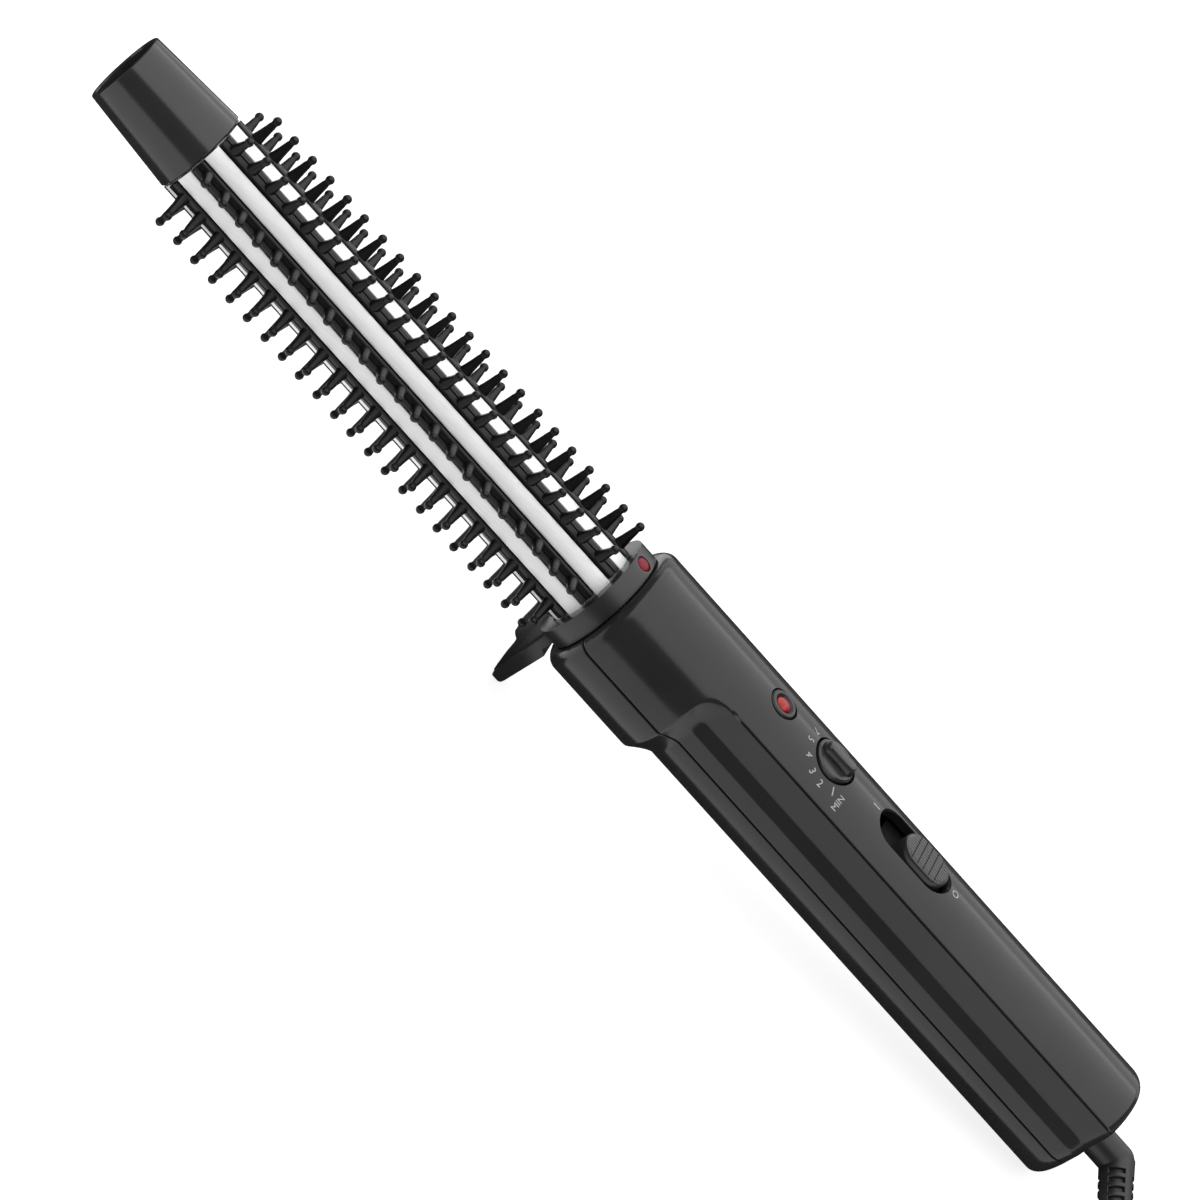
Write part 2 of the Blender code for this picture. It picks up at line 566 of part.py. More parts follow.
def cord(neck_end):
    middle, near, far = hank_places(neck_end)
    width = 2 * CORD_RADIUS
    outer, inner = HANK_FOLD + 1.5 * width + 0.0002, HANK_FOLD - width / 2 - 0.0002
    turn = along_cord(neck_end, 0)[1]
    meets = near + math.sqrt(outer**2 - (HANK_FOLD + width / 2 - 0.0004) ** 2)
    last = turn + along_cord(neck_end, turn)[0].x - meets
    first = SLEEVE_LENGTH + 0.0003
    steps = 14
    route = [along_cord(neck_end, first + (last - first) * i / steps)[0] for i in range(steps + 1)]
    tube("cord_lead", route, CORD_RADIUS, CORD)

    top = HANK_BASE + HANK_LAYERS * width + 0.0002
    edge = [stadium(far, near, middle, radius, 10) for radius in (outer, inner)]
    corners = ((0, HANK_BASE), (0, top), (1, top), (1, HANK_BASE))
    rings = [[Vector((x, y, z)) for x, y in edge[k]] for k, z in corners]
    finished("cord_hank", loft(rings, closed=True), CORD)

    centre = (near + far) / 2
    for i, y in enumerate((middle + HANK_FOLD + CORD_RADIUS, middle - HANK_FOLD - CORD_RADIUS)):
        half = width + 0.0002 + CLEARANCE
        low, high = TIE_THICKNESS, top + CLEARANCE
        ends = (centre - TIE_WIDTH / 2, centre + TIE_WIDTH / 2)
        band = []
        for grow, places in ((0.0, ends), (TIE_THICKNESS, ends[::-1])):
            for x in places:
                band.append([Vector((x, y + side * (half + grow), z)) for side, z in (
                    (-1, low - grow), (1, low - grow), (1, high + grow), (-1, high + grow))])
        finished(f"cord_tie_{i + 1}", loft(band, closed=True), BLACK_PLASTIC)
    plug(middle, near)


def plug(middle, near):
    """The cord's end crosses from the hank's inner run to the plug, which lies in the hank's middle."""
    shift = HANK_FOLD
    turn = 2 * math.atan2(shift, PLUG_LEAD)
    bend = PLUG_LEAD / (2 * math.sin(turn))
    route = []
    steps = 20
    for i in range(steps + 1):
        t = i / steps
        a = turn * min(2 * t, 2 - 2 * t)
        x, y = bend * math.sin(a), bend * (1 - math.cos(a))
        if t > 0.5:
            x, y = PLUG_LEAD - x, shift - y
        rise = (PLUG_HALF_HEIGHT + 0.0003 - CORD_REST) * t * t * (3 - 2 * t)
        route.append(Vector((near - x, middle + shift - y, CORD_REST + rise)))
    clear = HANK_FOLD - 2 * CORD_RADIUS - 0.0012
    route = [point for point in route if point.y < middle + clear]
    start = near - PLUG_LEAD
    route[-1].x = start + 0.0003
    tube("cord_tail", route, CORD_RADIUS, CORD)
    height = PLUG_HALF_HEIGHT + 0.0003
    rings = []
    for x, half_width, half_height in (
            (0.0, 0.0036, 0.0036), (0.0080, 0.0050, 0.0044), (0.0120, 0.0105, 0.0062),
            (0.0150, PLUG_HALF_WIDTH, PLUG_HALF_HEIGHT),
            (PLUG_LENGTH - 0.001, PLUG_HALF_WIDTH, PLUG_HALF_HEIGHT),
            (PLUG_LENGTH, PLUG_HALF_WIDTH - 0.001, PLUG_HALF_HEIGHT - 0.001)):
        ring = []
        for k in range(16):
            a = math.tau * (k + 0.5) / 16
            across, up = (math.copysign(abs(share) ** PLUG_SQUARENESS, share)
                          for share in (math.cos(a), math.sin(a)))
            ring.append(Vector((start - x, middle + half_width * across, height + half_height * up)))
        rings.append(ring)
    finished("plug_body", loft(rings), BLACK_PLASTIC)
    for i, side in enumerate((-1, 1)):
        y = middle + side * BLADE_SPACING / 2
        face = start - PLUG_LENGTH - 0.0003
        blade = block((face - BLADE_LENGTH, y - 0.0008, height - 0.0032),
                      (face, y + 0.0008, height + 0.0032))
        finished(f"plug_blade_{i + 1}", blade, BRASS)


def foot_tilt():
    """The tool's tilt when it stands on its heel rest and on the round lower edge of the handle's end."""
    foot_x, foot_z = COLLAR_REAR + 0.0009, -FOOT_REACH
    end_x, end_z = END_ROUND, -(GRIP_DEPTH - END_ROUND)
    run, drop = foot_x - end_x, end_z - foot_z
    return math.atan2(drop, run) - math.asin(END_ROUND / math.hypot(run, drop))


def stand(tool):
    """Turn the tool onto its two feet and put the origin on the surface, under the middle of the tool."""
    tool.rotation_euler = (0, -TILT, 0)
    bpy.context.view_layer.update()
    graph = bpy.context.evaluated_depsgraph_get()
    corners = []
    for obj in tool.children:
        if obj.hide_render:
            continue
        shown = obj.evaluated_get(graph)
        mesh = shown.to_mesh()
        corners += [shown.matrix_world @ vert.co for vert in mesh.vertices]
        shown.to_mesh_clear()
    tool.location.z = -min(corner.z for corner in corners)
    bpy.context.view_layer.update()
    corners += [point for ring in sleeve_rings(tool.matrix_world @ NECK_END) for point in ring]
    for axis in (0, 1):
        places = [corner[axis] for corner in corners]
        tool.location[axis] = -(min(places) + max(places)) / 2
    bpy.context.view_layer.update()
    return tool.matrix_world @ NECK_END


TILT = foot_tilt()
NECK_END = Vector((-NECK_LENGTH - 0.0003, 0, NECK_HEIGHT))
clear_scene()
DARK_PLASTIC = material("satin dark plastic", (0.062, 0.062, 0.064), 0.0, 0.45)
BLACK_PLASTIC = material("black plastic", (0.014, 0.014, 0.015), 0.0, 0.5)
BRISTLE = material("black nylon", (0.012, 0.012, 0.013), 0.0, 0.4)
ALUMINIUM = material("satin aluminium", (0.88, 0.88, 0.88), 1.0, 0.3)
CERAMIC = material("pale ceramic", (0.70, 0.68, 0.62), 0.0, 0.6)
STEEL = material("zinc steel", (0.55, 0.55, 0.57), 1.0, 0.35)
RED_DOT = material("red dot", (0.55, 0.03, 0.06), 0.0, 0.4)
RED_LENS = material("red lens", (0.70, 0.03, 0.04), 0.0, 0.2)
BOARD = material("green board", (0.03, 0.15, 0.06), 0.0, 0.5)
WIRE = material("wire sheath", (0.20, 0.10, 0.06), 0.0, 0.5)
CORD = material("black cord", (0.012, 0.012, 0.013), 0.0, 0.5)
BRASS = material("nickelled brass", (0.65, 0.60, 0.45), 1.0, 0.3)
HELPER = material("helper", (0.5, 0.5, 0.5), 0.0, 0.5)

tool_frame = bpy.data.objects.new("tool_frame", None)
bpy.context.scene.collection.objects.link(tool_frame)
handle_shells(tool_frame)
handle_screws(tool_frame)
barrel(tool_frame)
for strip in range(STRIPS):
    bristle_strip(tool_frame, strip)
cool_tip(tool_frame)
collar(tool_frame)
heater(tool_frame)
controls(tool_frame)
wiring(tool_frame)
neck(tool_frame)
neck_point = stand(tool_frame)
finished("strain_relief", loft(sleeve_rings(neck_point)), BLACK_PLASTIC)
cord(neck_point)
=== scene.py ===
# %% [markdown]
# # A heated styling brush, built piece by piece
#
# This lesson builds the looks of a heated brush: a dark faceted handle, a satin aluminium barrel with eight
# rows of nylon bristles, a cool tip to hold it by, a heel rest, and a mains cord. A packed CAD model gives
# the sizes and the moving bodies, and everything here is made round it, in metres and in the same frame.

# %% Load the packed model as a fixed frame
import json
import math

import bmesh
import bpy
from mathutils import Matrix, Vector

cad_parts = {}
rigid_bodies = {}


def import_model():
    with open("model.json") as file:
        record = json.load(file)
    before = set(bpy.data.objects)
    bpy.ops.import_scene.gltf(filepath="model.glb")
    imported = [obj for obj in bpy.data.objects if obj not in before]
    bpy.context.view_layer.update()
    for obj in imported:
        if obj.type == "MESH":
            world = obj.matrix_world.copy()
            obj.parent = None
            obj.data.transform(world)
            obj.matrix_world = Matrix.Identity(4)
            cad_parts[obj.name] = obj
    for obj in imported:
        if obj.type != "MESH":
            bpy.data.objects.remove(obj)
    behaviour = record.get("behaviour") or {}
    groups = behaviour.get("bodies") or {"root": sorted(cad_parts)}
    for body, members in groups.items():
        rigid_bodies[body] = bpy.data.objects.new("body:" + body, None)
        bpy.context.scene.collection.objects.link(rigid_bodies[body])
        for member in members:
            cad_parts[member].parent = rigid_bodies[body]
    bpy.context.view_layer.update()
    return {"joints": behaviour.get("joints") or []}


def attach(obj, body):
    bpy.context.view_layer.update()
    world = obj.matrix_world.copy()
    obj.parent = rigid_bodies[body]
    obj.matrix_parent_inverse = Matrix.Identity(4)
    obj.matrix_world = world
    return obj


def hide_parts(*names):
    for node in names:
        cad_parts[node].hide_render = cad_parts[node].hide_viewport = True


def linked(name, data):
    """A new object in the scene, with this mesh, curve, lamp or camera as its data."""
    obj = bpy.data.objects.new(name, data)
    bpy.context.scene.collection.objects.link(obj)
    return obj


for thing in list(bpy.data.objects):
    bpy.data.objects.remove(thing)
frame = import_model()

# %% [markdown]
# ## The tool's own axes
#
# The brush rests on its heel and the end of its handle, so it lies at a slant. Every piece is easier to
# describe along the tool itself: X from the handle's end to the cool tip, Z up through the controls. The
# switch slides along X and the dial turns about Z, so the model's joints say where those axes are.

# %% One matrix from the tool's axes to the frame
DIAL_X = 0.0971
DIAL_SEAT = 0.0125
joints = {joint["name"]: joint for joint in frame["joints"]}
along = Vector(joints["power_switch_slide"]["axis"]).normalized()
side = Vector((0, 1, 0))
up = along.cross(side)
dial_place = Vector(joints["heat_dial_turn"]["pos_m"])
corner = dial_place - DIAL_X * along - DIAL_SEAT * up
TOOL = Matrix((along, side, up)).transposed().to_4x4()
TOOL.translation = corner
TILT = math.asin(along.z)
print("handle end at", [round(v, 4) for v in corner], "tilt", round(math.degrees(TILT), 2), "degrees")

# %% [markdown]
# ## The camera
#
# A long lens far away keeps the barrel's sides almost parallel, as in a catalogue. The camera is rolled so
# that the brush lies across the view from the upper left to the lower right. Its axes are given as rows:
# right, up, and back towards the viewer.

# %% Place the camera
CAMERA_PLACE = Vector((0.1998, 1.0748, 0.8458))
CAMERA_RIGHT = Vector((-0.7366, -0.3237, 0.5939))
CAMERA_FORWARD = Vector((-0.1336, -0.7911, -0.5970))
LENS_MM = 208.8

camera = linked("camera", bpy.data.cameras.new("camera"))
camera.data.sensor_width = 36.0
camera.data.lens = LENS_MM
camera.data.clip_start, camera.data.clip_end = 0.05, 20.0
back = -CAMERA_FORWARD.normalized()
right = (CAMERA_RIGHT - CAMERA_RIGHT.dot(back) * back).normalized()
turned = Matrix((right, back.cross(right), back)).transposed().to_4x4()
turned.translation = CAMERA_PLACE
camera.matrix_world = turned
bpy.context.scene.camera = camera
bpy.context.scene.view_settings.view_transform = "Standard"

# %% [markdown]
# ## The cord's route
#
# A mains cord is a fixed length of something springy. It leaves a flexible sleeve at the handle's end,
# bends wide to lie in line with the brush, and the rest is folded into a flat hank for storage: three
# layers in an outer loop and two in an inner one. The route is points on one smooth line, worked out strand
# by strand: each strand climbs or steps inwards on the hank's far side, just before the strand after it
# gets there.

# %% From the neck to the hank
NECK_LENGTH = 0.0053
NECK_HEIGHT = 0.0016
SLEEVE_LENGTH = 0.0300
SLEEVE_BEND = 0.0060
SLEEVE_TURN = math.radians(65)
SLEEVE_STRAIGHT = 0.0130
CORD_RADIUS = 0.0030
CORD_BEND = 0.0260
CORD_REST = 0.0040
HANK_GAP = 0.0504
HANK_RUN = 0.0700
HANK_FOLD = 0.0186
PLUG_LEAD = 0.0320
PLUG_LENGTH = 0.0310
PLUG_HALF_HEIGHT = 0.0070
SLEEVE_GAP = 0.0003
neck_end = TOOL @ Vector((-NECK_LENGTH - SLEEVE_GAP, 0, NECK_HEIGHT))


def ease(t):
    t = min(max(t, 0.0), 1.0)
    return t * t * (3 - 2 * t)


def along_cord(distance):
    """A point of the cord's centre line before the hank, and the distance at which it runs straight."""
    first = SLEEVE_BEND * SLEEVE_TURN
    second = first + SLEEVE_STRAIGHT
    third = second + CORD_BEND * SLEEVE_TURN
    a = min(distance, first) / SLEEVE_BEND
    x, y = -SLEEVE_BEND * math.sin(a), SLEEVE_BEND * (1 - math.cos(a))
    run = min(max(distance - first, 0.0), SLEEVE_STRAIGHT)
    x, y = x - run * math.cos(SLEEVE_TURN), y + run * math.sin(SLEEVE_TURN)
    b = min(max(distance - second, 0.0) / CORD_BEND, SLEEVE_TURN)
    x -= CORD_BEND * (math.sin(SLEEVE_TURN) - math.sin(SLEEVE_TURN - b))
    y += CORD_BEND * (math.cos(SLEEVE_TURN - b) - math.cos(SLEEVE_TURN))
    x -= max(distance - third, 0.0)
    t = min(distance / third, 1.0)
    start, slope = neck_end.z, -third * math.tan(TILT)
    z = start + slope * t * (1 - t) ** 2 + (CORD_REST - start) * ease(t)
    return Vector((neck_end.x + x, neck_end.y + y, z)), third


straight_from = along_cord(0.0)[1]
elbow = SLEEVE_BEND * SLEEVE_TURN
elbow_offset = along_cord(elbow)[0] - neck_end


def sleeve_line(distance):
    """The centre line from the neck on: it turns at once, and joins the cord where that runs straight."""
    joined = ease((distance - elbow) / (straight_from - elbow))
    return along_cord(distance)[0] - elbow_offset * (1 - joined)


cord_side = along_cord(straight_from)[0].y
hank_middle = cord_side - HANK_FOLD - 2 * CORD_RADIUS
hank_near = neck_end.x - HANK_GAP
hank_far = hank_near - HANK_RUN
print("hank from x", round(hank_near, 4), "to", round(hank_far, 4), "middle y", round(hank_middle, 4))

# %% The folded turns and the end that goes to the plug
CORD_STEP = 0.0025
OUTER, INNER = HANK_FOLD + 2 * CORD_RADIUS, HANK_FOLD
STATES = [(OUTER, 0), (OUTER, 1), (OUTER, 2), (INNER, 2), (INNER, 1), (INNER, 0)]
CHANGE_LENGTH = 0.028
CHANGE_SPACING = 0.0095


def arc(centre_x, radius, height, start):
    """Half a turn about (centre_x, hank_middle), from the angle start."""
    steps = 14
    return [Vector((centre_x + radius * math.cos(start + math.pi * i / steps),
                    hank_middle + radius * math.sin(start + math.pi * i / steps), height))
            for i in range(1, steps)]


def hank_points():
    points = []
    steps = int(HANK_RUN / CORD_STEP)
    for k in range(len(STATES) - 1):
        (radius, layer), (next_radius, next_layer) = STATES[k], STATES[k + 1]
        height, next_height = (CORD_REST + 2 * CORD_RADIUS * n for n in (layer, next_layer))
        for i in range(steps + 1):
            points.append(Vector((hank_near - HANK_RUN * i / steps, hank_middle + radius, height)))
        points += arc(hank_far, radius, height, math.pi / 2)
        change_from = hank_near - CHANGE_LENGTH - k * CHANGE_SPACING
        for i in range(steps + 1):
            x = hank_far + HANK_RUN * i / steps
            t = ease((x - change_from) / CHANGE_LENGTH)
            points.append(Vector((x, hank_middle - radius - (next_radius - radius) * t,
                                  height + (next_height - height) * t)))
        points += arc(hank_near, next_radius, next_height, -math.pi / 2)
    return points


def plug_points():
    """From the hank's inner run across to the plug, in two opposite bends."""
    turn = 2 * math.atan2(HANK_FOLD, PLUG_LEAD)
    bend = PLUG_LEAD / (2 * math.sin(turn))
    points = []
    for i in range(17):
        t = i / 16
        a = turn * min(2 * t, 2 - 2 * t)
        x, y = bend * math.sin(a), bend * (1 - math.cos(a))
        if t > 0.5:
            x, y = PLUG_LEAD - x, HANK_FOLD - y
        rise = (PLUG_HALF_HEIGHT + 0.0003 - CORD_REST) * ease(t)
        points.append(Vector((hank_near - x, hank_middle + HANK_FOLD - y, CORD_REST + rise)))
    return points


straight_to = straight_from + along_cord(straight_from)[0].x - hank_near
before = [sleeve_line(SLEEVE_LENGTH + (straight_to - SLEEVE_LENGTH) * i / 30) for i in range(30)]
route = before + hank_points() + plug_points()
cord_length = sum((b - a).length for a, b in zip(route, route[1:]))
print("cord:", len(route), "points,", round(cord_length, 3), "m")

# %% Draw the cord as a round curve along the route
curve = bpy.data.curves.new("power_cord", "CURVE")
curve.dimensions, curve.bevel_depth, curve.bevel_resolution = "3D", CORD_RADIUS, 4
curve.use_fill_caps = True
spline = curve.splines.new("POLY")
spline.points.add(len(route) - 1)
for place, point in zip(spline.points, route):
    place.co = (*point, 1.0)
spline.use_smooth = True
power_cord = linked("power_cord", curve)
print("cord drawn,", round(2000 * CORD_RADIUS, 1), "mm thick")

# %% [markdown]
# ## Shader maths in plain Python
#
# Procedural finishes are sums and products of noise. Wired by hand they become long lists of nodes, so two
# small classes help. A Value wraps one socket and knows the arithmetic signs, so 1 - mask adds a Math node.
# A Finish is one material, and its node method makes any other node from its settings and inputs.

# %% Value and Finish
class Value:
    """A shader socket that arithmetic can be done on."""

    def __init__(self, finish, socket):
        self.finish, self.socket = finish, socket

    def maths(self, operation, first, second):
        return self.finish.node("ShaderNodeMath", {"operation": operation}, {0: first, 1: second})

    def __add__(self, other):
        return self.maths("ADD", self, other)

    def __sub__(self, other):
        return self.maths("SUBTRACT", self, other)

    def __rsub__(self, other):
        return self.maths("SUBTRACT", other, self)

    def __mul__(self, other):
        return self.maths("MULTIPLY", self, other)

    __radd__, __rmul__ = __add__, __mul__

    def spread(self, low, high, to_low=0.0, to_high=1.0):
        """This value mapped smoothly from low..high to to_low..to_high."""
        return self.finish.node("ShaderNodeMapRange", {"interpolation_type": "SMOOTHSTEP"},
                                {0: self, 1: low, 2: high, 3: to_low, 4: to_high})


class Finish:
    """One material with a Principled shader, and short ways to feed it."""

    def __init__(self, name, **settings):
        self.material = bpy.data.materials.new(name)
        self.material.use_nodes = True
        self.nodes = self.material.node_tree.nodes
        self.links = self.material.node_tree.links
        self.shader = self.nodes["Principled BSDF"]
        self.set(**settings)

    def feed(self, socket, value):
        if isinstance(value, Value):
            self.links.new(value.socket, socket)
        elif socket.type == "RGBA" and len(value) == 3:
            socket.default_value = (*value, 1.0)
        else:
            socket.default_value = value

    def set(self, **inputs):
        """Principled sockets by name, with _ for a space: base_color, roughness, coat_weight."""
        sockets = {s.name.lower().replace(" ", "_"): s for s in self.shader.inputs}
        for name, value in inputs.items():
            self.feed(sockets[name], value)
        return self

    def node(self, kind, settings, inputs, output=0):
        made = self.nodes.new(kind)
        for name, value in settings.items():
            setattr(made, name, value)
        for key, value in inputs.items():
            self.feed(made.inputs[key], value)
        return Value(self, made.outputs[output])

    def place(self, scale=(1, 1, 1), turn=(0, 0, 0)):
        """The object's own coordinates, stretched so that a pattern runs along the piece."""
        source = self.node("ShaderNodeTexCoord", {}, {}, "Object")
        return self.node("ShaderNodeMapping", {}, {"Vector": source, "Rotation": turn, "Scale": scale})

    def noise(self, scale, stretch=(1, 1, 1), detail=3.0, turn=(0, 0, 0)):
        return self.node("ShaderNodeTexNoise", {}, {"Vector": self.place(stretch, turn), "Scale": scale,
                                                    "Detail": detail, "Roughness": 0.55}, "Fac")

    def mix(self, share, first, second):
        return self.node("ShaderNodeMix", {"data_type": "RGBA"}, {0: share, 6: first, 7: second}, 2)

    def bump(self, height, depth, strength=1.0):
        normal = self.node("ShaderNodeBump", {}, {"Height": height, "Distance": depth,
                                                  "Strength": strength}, "Normal")
        return self.set(normal=normal)


print("shader helpers ready")

# %% [markdown]
# ## The finishes
#
# The handle is satin ABS: nearly black, with a fine spark-eroded grain that keeps fingers from slipping and
# a faint warm unevenness where hands polish it. The aluminium is drawn and then blasted, so its lines run
# along the barrel under a soft haze. Nylon, rubber and plug plastic are darker relatives of the handle.
# Each is one noise for the tone, one for the gloss and one for the grain, at the size that the real one
# has.

# %% Moulded plastics
TOOL_TURN = (0.0, TILT, 0.0)


def plastic(name, dark, light, gloss, grain=0.00002, grain_size=5200, mottle=60, shine=0.5):
    """Two tones of a dark plastic, a gloss that wanders a little, and a fine grain."""
    made = Finish(name, specular_ior_level=shine)
    tone = made.noise(mottle, detail=4.0)
    pores = made.noise(grain_size, detail=1.0)
    made.set(base_color=made.mix(tone.spread(0.3, 0.7), dark, light),
             roughness=tone.spread(0.25, 0.75, gloss - 0.01, gloss + 0.02) + pores * 0.02)
    return made.bump(pores, grain, 0.2)


handle_plastic = plastic("satin_charcoal", (0.0155, 0.0150, 0.0150), (0.0190, 0.0184, 0.0184), 0.16,
                         shine=0.38)
tip_plastic = plastic("satin_charcoal_tip", (0.0205, 0.0200, 0.0200), (0.0245, 0.0238, 0.0238), 0.16)
control_plastic = plastic("satin_charcoal_controls", (0.016, 0.017, 0.017), (0.022, 0.022, 0.022), 0.22)
collar_plastic = plastic("satin_black_collar", (0.012, 0.012, 0.012), (0.017, 0.017, 0.017), 0.30)
matt_black = plastic("matt_black", (0.0015, 0.0015, 0.0015), (0.0030, 0.0030, 0.0030), 0.70, shine=0.2)
bristle_nylon = plastic("bristle_nylon", (0.0030, 0.0030, 0.0032), (0.0055, 0.0055, 0.0058), 0.30, mottle=300,
                        shine=0.32)
black_plastic = plastic("black_plastic", (0.010, 0.010, 0.011), (0.016, 0.016, 0.016), 0.38)
sleeve_rubber = plastic("sleeve_rubber", (0.012, 0.012, 0.012), (0.019, 0.019, 0.019), 0.42, mottle=200)
cord_rubber = plastic("cord_rubber", (0.011, 0.011, 0.012), (0.017, 0.017, 0.018), 0.40, mottle=150)
strap_weave = plastic("strap_weave", (0.012, 0.012, 0.013), (0.030, 0.030, 0.032), 0.75, grain=0.0001,
                      grain_size=2200, mottle=900)
print("plastics:", [m.name for m in bpy.data.materials][-10:])

# %% Metals, paint, lens and the hidden pieces
def metal(name, colour, gloss, metallic=1.0, lines=(1, 40, 40)):
    """Drawn lines along the piece, under a soft haze."""
    made = Finish(name, metallic=metallic)
    drawn = made.noise(60, lines, 5.0, TOOL_TURN)
    haze = made.noise(240, detail=2.0)
    made.set(base_color=made.mix(drawn.spread(0.3, 0.7), [0.93 * c for c in colour], colour),
             roughness=gloss + haze * 0.08 + drawn * 0.06)
    return made.bump(drawn, 0.00001, 0.25)


def speckled(name, size, dark, light, limits=None, detail=3.0, **settings):
    """A colour that wanders between two tones. Its noise and its tone are kept for other inputs."""
    made = Finish(name, **settings)
    made.speckle = made.noise(size, detail=detail)
    made.tone = made.mix(made.speckle.spread(*limits) if limits else made.speckle, dark, light)
    return made.set(base_color=made.tone)


barrel_metal = metal("satin_aluminium", (0.90, 0.90, 0.905), 0.48, 0.50)
steel = metal("zinc_steel", (0.58, 0.58, 0.60), 0.30, lines=(30, 30, 30))
blade_metal = metal("nickel_blades", (0.72, 0.68, 0.58), 0.26)
mark_paint = speckled("mark_paint", 2600, (0.30, 0.30, 0.30), (0.46, 0.45, 0.45), (0.35, 0.6), 2.0,
                      roughness=0.5)
lamp_red = speckled("lamp_red", 1500, (0.20, 0.004, 0.004), (0.44, 0.012, 0.010), (0.3, 0.7), 2.0,
                    roughness=0.22, specular_ior_level=0.35, emission_strength=0.03)
lamp_red.set(emission_color=lamp_red.tone)
dot_red = speckled("dot_red", 1800, (0.12, 0.003, 0.010), (0.28, 0.008, 0.022), detail=2.0,
                   roughness=0.45, specular_ior_level=0.25)
ceramic = speckled("pale_ceramic", 400, (0.60, 0.57, 0.50), (0.74, 0.72, 0.66), roughness=0.7)
ceramic.bump(ceramic.speckle, 0.0001, 0.3)
board_green = speckled("board_green", 700, (0.015, 0.09, 0.03), (0.03, 0.16, 0.06), roughness=0.35)
wire_sheath = speckled("wire_sheath", 900, (0.14, 0.06, 0.035), (0.22, 0.11, 0.06), roughness=0.5)
print("finishes in all:", len(bpy.data.materials))

# %% [markdown]
# ## From a shape to a finished piece
#
# Most pieces are lofts: rings of points with skin between them. They are described in the tool's axes and
# placed by changing their vertices, so that every finished object sits at the origin. Smooth shading with
# sharp creases does the rest, and a Bevel modifier softens the moulded edges where it is asked for.

# %% Helpers for pieces
def loft(rings, closed=False):
    shape = bmesh.new()
    loops = [[shape.verts.new(point) for point in ring] for ring in rings]
    pairs = list(zip(loops, loops[1:])) + ([(loops[-1], loops[0])] if closed else [])
    for first, second in pairs:
        for i in range(len(first)):
            j = (i + 1) % len(first)
            shape.faces.new((first[i], first[j], second[j], second[i]))
    if not closed:
        shape.faces.new(loops[0][::-1])
        shape.faces.new(loops[-1])
    return shape


def prism(axis, outline, ends):
    """A straight bar along axis 0, 1 or 2: the flat outline at each end, with skin between."""
    return loft([[Vector((*point[:axis], end, *point[axis:])) for point in outline] for end in ends])


def rectangle(x0, x1, y0, y1):
    return (x0, y0), (x1, y0), (x1, y1), (x0, y1)


def mesh_from(shape, name):
    mesh = bpy.data.meshes.new(name)
    shape.to_mesh(mesh)
    shape.free()
    return mesh


def object_from(shape, name, place=None):
    """An object from a bmesh, with its place put into its vertices."""
    bmesh.ops.remove_doubles(shape, verts=shape.verts, dist=1e-7)
    bmesh.ops.recalc_face_normals(shape, faces=shape.faces)
    if place is not None:
        bmesh.ops.transform(shape, matrix=place, verts=shape.verts)
    return linked(name, mesh_from(shape, name))


def plain_mesh(obj):
    """The object's shape as its modifiers leave it."""
    bpy.context.view_layer.update()
    graph = bpy.context.evaluated_depsgraph_get()
    return bpy.data.meshes.new_from_object(obj.evaluated_get(graph), depsgraph=graph)


def applied(obj):
    mesh = plain_mesh(obj)
    obj.modifiers.clear()
    obj.data = mesh
    return obj


def soften(obj, width, segments=2, angle=35):
    modifier = obj.modifiers.new("soft edges", "BEVEL")
    modifier.width, modifier.segments = width, segments
    modifier.limit_method, modifier.angle_limit = "ANGLE", math.radians(angle)
    return applied(obj)


def cut(obj, shape, operation="DIFFERENCE"):
    """Take a shape out of the object, or unite the two."""
    cutter = object_from(shape, "cutter")
    modifier = obj.modifiers.new("cut", "BOOLEAN")
    modifier.operation, modifier.object, modifier.solver = operation, cutter, "EXACT"
    applied(obj)
    bpy.data.objects.remove(cutter)


def finish_piece(obj, body, finish, replaces=(), angle=32):
    """Shade the piece, give it its finish, and hang it on its body in place of its CAD nodes."""
    obj.data.materials.clear()
    obj.data.materials.append(finish.material)
    if obj.type == "MESH":
        obj.data.shade_smooth()
        obj.data.set_sharp_from_angle(angle=math.radians(angle))
    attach(obj, body)
    if replaces:
        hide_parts(*replaces)
    print(obj.name, "rides on", body, "and takes the place of", len(replaces), "CAD nodes")
    return obj


def angles(first, last, steps):
    """Evenly spaced angles from first to last, both included."""
    return [first + (last - first) * i / steps for i in range(steps + 1)]


def circle_x(x, radius, sides, z=0.0):
    return [Vector((x, radius * math.sin(a), z + radius * math.cos(a)))
            for a in angles(0, math.tau, sides)[:-1]]


def circle_z(x, z, radius, sides):
    return [Vector((x + radius * math.cos(a), radius * math.sin(a), z))
            for a in angles(0, math.tau, sides)[:-1]]


def turned_x(outline, sides=64, closed=False, z=0.0):
    return loft([circle_x(x, r, sides, z) for x, r in outline], closed)


def turned_z(x, outline, sides=48, closed=False):
    return loft([circle_z(x, z, r, sides) for z, r in outline], closed)


def stadium(x0, x1, radius, z):
    """A long hole's outline at the height z, between the centres x0 and x1 of its round ends."""
    return [Vector((centre + radius * math.cos(a), radius * math.sin(a), z))
            for centre, start in ((x1, -math.pi / 2), (x0, math.pi / 2))
            for a in angles(start, start + math.pi, 14)]


print("helpers for lofts, turned shapes and cuts ready")

# %% [markdown]
# ## The handle
#
# The handle is two half shells that meet at its sides. In front it is a full round shoulder, and behind it
# a grip that is cut back at the sides and below: a crowned panel on top, a flat flank, a ledge that slopes
# out, and a round belly. One function gives the distance from the axis for every place and angle, so the
# surface is exact everywhere, and the rings only need to be close together where it turns quickly.

